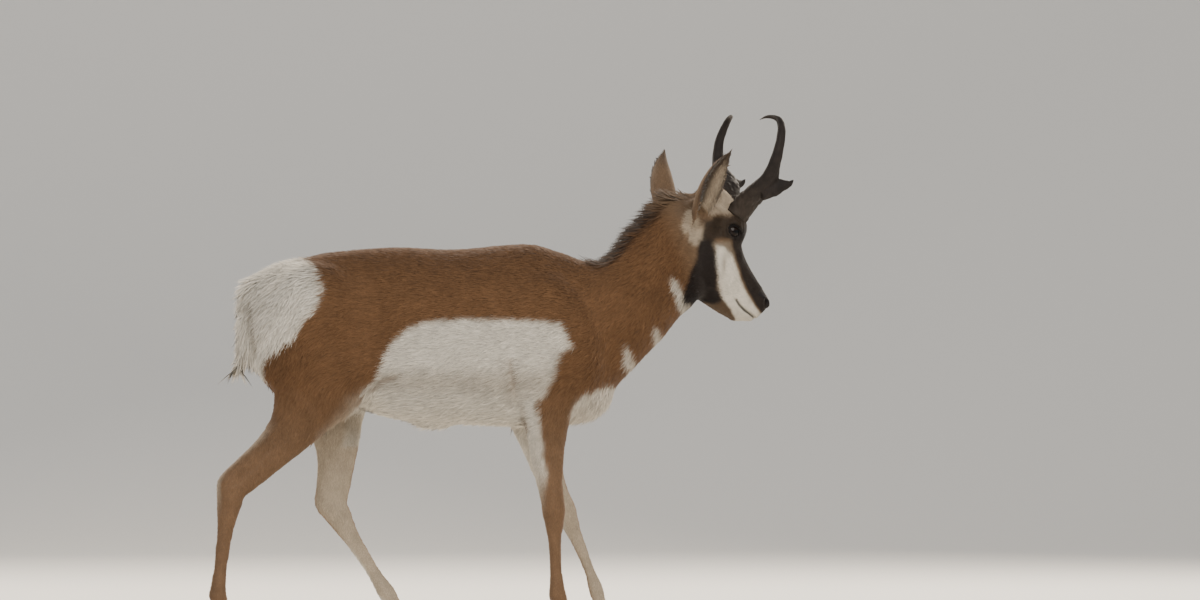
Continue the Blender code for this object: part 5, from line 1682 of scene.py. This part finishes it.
def horn(side, word):
    """Shaft and prong fused, then moved along the normals by ridges, warts and a small trim."""
    shaft, line = horn_rings(HORN_PATH, HORN_SECTION, SHAFT_DEEP, side, 70, 36, HORN_START)
    prong, _ = horn_rings(PRONG_PATH, PRONG_SECTION, PRONG_DEEP, side, 24, 28)
    p, q, t = remeshed([tube(shaft), tube(prong)], HORN_VOXEL, "horn")
    p = relax(p, edges_of(q, t), 7, 1.0)
    gap = np.linalg.norm(p[:, None, :] - line[None, ::3], axis=2)
    along = gap.argmin(axis=1) / (len(line[::3]) - 1)
    out = vertex_normals(p, q, t)
    ridges = noise(p * [1, 1, 0.14], 0.0052, 21) * 0.0007 * ease_in(1.0, 0.5, along)
    warts = np.maximum(noise(p, 0.0075, 22), -0.1) * 0.0024 * ease_in(0.42, 0.08, along)
    p = p + out * (ridges + warts - 0.0004)[:, None]
    shade = mix(np.tile(HORN_DARK, (len(p), 1)), HORN_ROOT, ease_in(0.32, 0.02, along))
    shade = mix(shade, HORN_WORN, ease_in(0.75, 1.0, along) * 0.7)
    shade *= (1 + 0.25 * noise(p, 0.012, 23))[:, None]
    obj = make_mesh("horn_sheath_" + word, bend(p), q, t)
    paint(obj, shade)
    obj.data.materials.append(horn_material)
    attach(obj, "root")
    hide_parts("horn_" + word)
    print(obj.name, len(q) * 2 + len(t), "triangles")


horn_material = painted("horn_sheath", 0.66, 0.0004, 260.0, 0.7, 1.35, stretch=(1.0, 1.0, 0.18),
                        specular=0.12)
SIDES = ((-1, "right"), (1, "left"))
for side, word in SIDES:
    horn(side, word)

# %% [markdown]
# The eye is large, very dark, and stands out from the head. Its pupil is a level bar that keeps
# to the horizon, which hardly shows against a dark iris. An eye could be two shells, a clear one
# over a painted one. At this distance one glossy ball does, with a slight bulge in front and its
# colours set by the angle from the gaze.

# %% Eyeballs
GAZE = (0.22, -0.05)
EYE_WHITE, IRIS, PUPIL = (0.014, 0.010, 0.008), (0.008, 0.004, 0.0022), (0.003, 0.003, 0.003)


def eyeball(side, word):
    """A ball, raised by 2% near the gaze; iris within an angle, pupil within a flat ellipse."""
    p, q, t = ball((0, 0, 0), (EYE_RADIUS - 0.2,) * 3, 0.0, 64, 96)
    gaze = unit(np.array([GAZE[0], side, GAZE[1]]))
    way = unit(p)
    level = unit(np.cross(gaze, [0, 0, 1.0]))
    above = np.cross(level, gaze)
    x, y, depth = way @ level, way @ above, way @ gaze
    spread = np.arccos(np.clip(depth, -1, 1))
    p = p * (1 + 0.020 * ease_in(0.75, 0.35, spread))[:, None]
    iris = ease_in(0.70, 0.60, spread)
    pupil = ease_in(1.15, 0.90, np.sqrt((x / 0.40) ** 2 + (y / 0.20) ** 2)) * (depth > 0)
    streak = 1 + 0.35 * noise(way, 0.08, 31)
    shade = mix(np.tile(EYE_WHITE, (len(p), 1)), IRIS, iris)
    shade = mix(shade * streak[:, None], PUPIL, pupil)
    obj = make_mesh("eyeball_" + word, bend(p + eye_centre(side)), q, t)
    paint(obj, shade)
    obj.data.materials.append(eye_material)
    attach(obj, "root")
    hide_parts("eye_" + word)
    print(obj.name, len(q) * 2 + len(t), "triangles")


eye_material = painted("eye_ball", 0.10, 0, 400.0, 0.9, 1.1, specular=0.16)

# %% [markdown]
# The edge of a lid is bare dark skin, thicker above, which shades the eye. Skin folded in a mesh
# this fine would look ragged. A separate round rim along the same almond gives a
# clean edge and covers the join of ball and skin.

# %% Rims of the lids
RIM_SHADE = (0.006, 0.0045, 0.004)


def almond(side, turn, scale=1.0):
    """Directions from the eye's middle to the almond's edge: out + heading cos(t) + square sin(t),
    each by its half size, with the height drawn in at the corners."""
    heading, square, out = eye_axes(side)
    along = scale * EYE_OPENING[0] * np.cos(turn)
    above = scale * EYE_OPENING[1] * np.sin(turn) * (1 - 0.18 * np.cos(turn) ** 2)
    return unit(out + heading * along[:, None] + square * above[:, None])


def lid_rim(side, word):
    """A round rim along the almond, thicker above than below."""
    steps, around = 96, 14
    turn = np.linspace(0, 2 * math.pi, steps, endpoint=False)
    way = almond(side, turn, 1.04)
    path = eye_centre(side) + way * (EYE_RADIUS + 1.2) * MM
    tangent = unit(np.roll(path, -1, axis=0) - np.roll(path, 1, axis=0))
    third = np.cross(tangent, way)
    spin = np.linspace(0, 2 * math.pi, around, endpoint=False)
    thick = (1.1 + 1.1 * np.clip(np.sin(turn), 0, 1) + 0.6 * np.abs(np.cos(turn)) ** 8) * MM
    rings = (path[:, None] + way[:, None] * (np.cos(spin)[None] * thick[:, None])[..., None]
             + third[:, None] * (np.sin(spin)[None] * thick[:, None] * 1.25)[..., None])
    i, j = np.meshgrid(np.arange(steps), np.arange(around), indexing="ij")
    k, m = (i + 1) % steps, (j + 1) % around
    q = np.stack([i * around + j, i * around + m, k * around + m, k * around + j], axis=-1)
    q = q.reshape(-1, 4)
    if side > 0:
        q = q[:, ::-1]
    p = rings.reshape(-1, 3)
    obj = make_mesh("lid_rim_" + word, bend(p), q, np.zeros((0, 3)))
    paint(obj, np.tile(RIM_SHADE, (len(p), 1)))
    obj.data.materials.append(lid_material)
    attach(obj, "root")
    print(obj.name, len(q) * 2, "triangles")


lid_material = painted("lid_skin", 0.50, 0.0003, 900.0, specular=0.10)

# %% [markdown]
# Lashes are few, long and dark, and fan out from the upper lid. They are the long blade again,
# thin and stiff. They have random numbers of their own, so the coat stays the same if they change.

# %% Lashes
LASH_COUNT, LASH_WIDTH = 46, 0.00033
LASH_SHADE = (0.010, 0.008, 0.007)


def lashes(side, word):
    """Fine dark blades along the upper rim, fanned out and down."""
    spread = np.random.default_rng(SEED + 5)
    turn = np.linspace(0.30, math.pi - 0.35, LASH_COUNT) + spread.normal(0, 0.02, LASH_COUNT)
    heading, square, out = eye_axes(side)
    way = almond(side, turn, 1.08)
    root = eye_centre(side) + way * (EYE_RADIUS + 2.4) * MM
    aim = unit(out * 0.9 + heading * (np.cos(turn) * 0.55)[:, None] + square * 0.15
               + spread.normal(0, 0.08, (LASH_COUNT, 3)))
    long = (0.0085 + 0.003 * np.sin(turn))[:, None]
    cross = unit(np.cross(aim, square)) * LASH_WIDTH
    corners = []
    for share in (0.0, 0.5):
        spot = root + aim * long * share + square * (0.0016 * share**2)
        corners += [spot - cross, spot + cross, spot + square * LASH_WIDTH]
    corners.append(root + aim * long + square * 0.0030)
    rings = np.stack(corners, axis=1)
    every = (BLADE_FACES[None] + (np.arange(LASH_COUNT) * 7)[:, None, None]).reshape(-1, 3)
    obj = make_mesh("lashes_" + word, bend(rings.reshape(-1, 3)), np.zeros((0, 4)), every)
    paint(obj, np.tile(LASH_SHADE, (LASH_COUNT * 7, 1)))
    obj.data.materials.append(lid_material)
    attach(obj, "root")
    print(obj.name, len(every), "triangles")


for side, word in SIDES:
    eyeball(side, word)
    lid_rim(side, word)
    lashes(side, word)

# %% [markdown]
# A hoof is a cloven cone of horn, with a straight wall at the toe and a top edge that falls
# towards the heel. This animal has no dewclaws. It could be cut from a cone with booleans. Rings
# from the sole up do the same in one sweep: longer ahead than behind, drawn in along a groove in
# front, and raised by the slope of the top edge.

# %% Hooves
# Reach of toe and heel, half width and half width of the groove, in mm.
HOOF_TOE = {"fore": 50, "hind": 46}
HOOF_HEEL = 29
HOOF_HALF_WIDTH = 24
CORONET_SLOPE = math.radians(17)
CLEFT = 2.4
HOOF_SHADE = (0.021, 0.017, 0.014)


def hoof(name, joints, side):
    """Rings from the sole up: x = reach cos(t), y = width sin(t), raised by the coronet's slope."""
    middle = joints[-1][0]
    toe = HOOF_TOE[name.split("_")[0]]
    # share of the height, toe, heel, half width
    rows = [(0.0, toe, HOOF_HEEL, HOOF_HALF_WIDTH), (0.45, toe * 0.78, HOOF_HEEL, HOOF_HALF_WIDTH),
            (1.0, 21, 22, 20)]
    table = smooth_rows(rows, 24)
    sole = table[0] * [0, 0.95, 0.94, 0.93]
    top = np.array([table[-1] * [1.02, 0.93, 0.93, 0.93], table[-1] * [1.03, 0.70, 0.70, 0.70]])
    table = np.vstack([sole, table + [0.03, 0, 0, 0] * (table[:, :1] < 0.01), top])
    share, front, heel, wide = (column[:, None] for column in table.T)
    turn = np.linspace(0, 2 * math.pi, 112, endpoint=False)[None]
    ahead = np.maximum(np.cos(turn), 0)
    y = wide * np.sin(turn) * (1 - 0.38 * ahead**2)
    groove = np.exp(-(y / CLEFT) ** 2) * ease_in(0.05, 0.5, ahead) * ease_in(0.86, 0.62, share)
    reach = np.where(np.cos(turn) > 0, front * (1 - 0.42 * groove), heel) * np.cos(turn)
    height = HOOF_HEIGHT * share + math.tan(CORONET_SLOPE) * reach * share
    rings = np.stack([middle + reach, side + y, height], axis=-1) * MM
    p, q, t = tube(rings)
    obj = make_mesh("hoof_wall_" + name, p, q, t)
    grown = 1 + 0.22 * noise(p * [0.25, 0.25, 1], 0.0035, 41) + 0.15 * noise(p, 0.009, 42)
    paint(obj, np.array(HOOF_SHADE) * grown[:, None])
    obj.data.materials.append(hoof_material)
    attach(obj, "root")
    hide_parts("hoof_" + name)
    print(obj.name, len(q) * 2 + len(t), "triangles")


hoof_material = painted("hoof_wall", 0.45, 0.0005, 300.0, 0.75, 1.25, stretch=(1.0, 1.0, 0.12))
for name, (_, side, joints) in LEGS.items():
    hoof(name, joints, side)

# %% [markdown]
# A museum shows an animal before something plain, so that its outline reads. A plane and a wall
# would meet in a dark line. A sheet of pale paper that curves up behind has no such line: it runs
# flat, turns through a quarter circle and goes on straight up.

# %% Floor
PAPER = (0.80, 0.77, 0.72, 1)
TURN_RADIUS = 2.5


def floor():
    """One profile of y and z carried from side to side: flat, radius sin and 1 - cos, then up."""
    turn = np.linspace(0, math.pi / 2, 24)
    y = np.concatenate([[-9.0, -2.0, 1.0], 5.0 + TURN_RADIUS * np.sin(turn), [7.5]])
    z = np.concatenate([[0, 0, 0], TURN_RADIUS * (1 - np.cos(turn)), [9.0]])
    x = np.array([-11.0, 0.0, 11.0])
    across, along = np.meshgrid(x, y, indexing="ij")
    grid = np.stack([across, along, np.repeat(z[None], 3, 0)], -1)
    i, j = np.meshgrid(np.arange(2), np.arange(len(y) - 1), indexing="ij")
    k = i * len(y) + j
    q = np.stack([k, k + len(y), k + len(y) + 1, k + 1], axis=-1).reshape(-1, 4)
    obj = make_mesh("studio_floor", grid.reshape(-1, 3) + SHIFT, q, np.zeros((0, 3)))
    made, _, shader = node_material("studio_paper")
    shader.inputs["Base Color"].default_value = PAPER
    shader.inputs["Roughness"].default_value = 0.9
    obj.data.materials.append(made)
    print(obj.name, len(q), "faces")


floor()

# %% [markdown]
# Fur needs light from more than one side: a large soft key from the front to show its lie, a weak fill
# against black shadows, and two warmer lights behind that catch the fringe of hair. A sun lamp
# would be simpler, but its hard shadows make each tuft stand out.

# %% Light
CENTRE = (0.0, 0.0, 0.7)


def area(name, place, aim, size, power, colour):
    """A square light at a place, turned so that its -Z points at aim."""
    data = bpy.data.lights.new(name, "AREA")
    data.size = size
    data.energy = power
    data.color = colour
    obj = bpy.data.objects.new(name, data)
    bpy.context.scene.collection.objects.link(obj)
    obj.location = place
    way = np.array(aim) - np.array(place)
    spin = math.atan2(way[1], way[0]) - math.pi / 2
    tilt = math.atan2(way[2], math.hypot(way[0], way[1])) + math.pi / 2
    obj.rotation_euler = (tilt, 0, spin)


area("key", (1.6, -3.6, 3.0), CENTRE, 2.6, 150, (1.0, 0.96, 0.90))
area("fill", (-2.8, -3.2, 1.6), CENTRE, 3.0, 60, (0.95, 0.97, 1.0))
area("rim_left", (-1.8, 3.0, 3.2), CENTRE, 1.4, 230, (1.0, 0.90, 0.76))
area("rim_right", (2.4, 2.6, 2.6), CENTRE, 1.4, 190, (1.0, 0.90, 0.76))
world = bpy.data.worlds.new("studio")
world.use_nodes = True
world.node_tree.nodes["Background"].inputs["Color"].default_value = (0.92, 0.95, 1.0, 1)
world.node_tree.nodes["Background"].inputs["Strength"].default_value = 0.55
bpy.context.scene.world = world
print("lights: key, fill and two rims")

# %% [markdown]
# Seen from far off through a long lens, near and far legs keep nearly the same size, as they do
# to someone watching a shy animal across open country. The camera stands on the right side,
# turned by VIEW_TURN, which is the side view that the outlines were drawn on.

# %% Camera
VIEW_DROP = math.radians(0.9)
DISTANCE = 28.0
# Width of what is seen at the animal, in metres, and the film's width in mm.
SEEN, FILM = 2.70, 36
look = np.array([math.sin(VIEW_TURN) * math.cos(VIEW_DROP), math.cos(VIEW_TURN) * math.cos(VIEW_DROP),
                 -math.sin(VIEW_DROP)])
aim = np.array([0.225 * math.cos(VIEW_TURN), -0.225 * math.sin(VIEW_TURN), 0.7515]) - SHIFT
camera_data = bpy.data.cameras.new("camera")
camera_data.lens = FILM * DISTANCE / SEEN
camera_data.clip_end = 100
camera = bpy.data.objects.new("camera", camera_data)
bpy.context.scene.collection.objects.link(camera)
camera.location = aim - look * DISTANCE
camera.rotation_euler = (math.pi / 2 - VIEW_DROP, 0, -VIEW_TURN)
bpy.context.scene.camera = camera
print("camera", DISTANCE, "m away, lens", round(camera_data.lens), "mm")
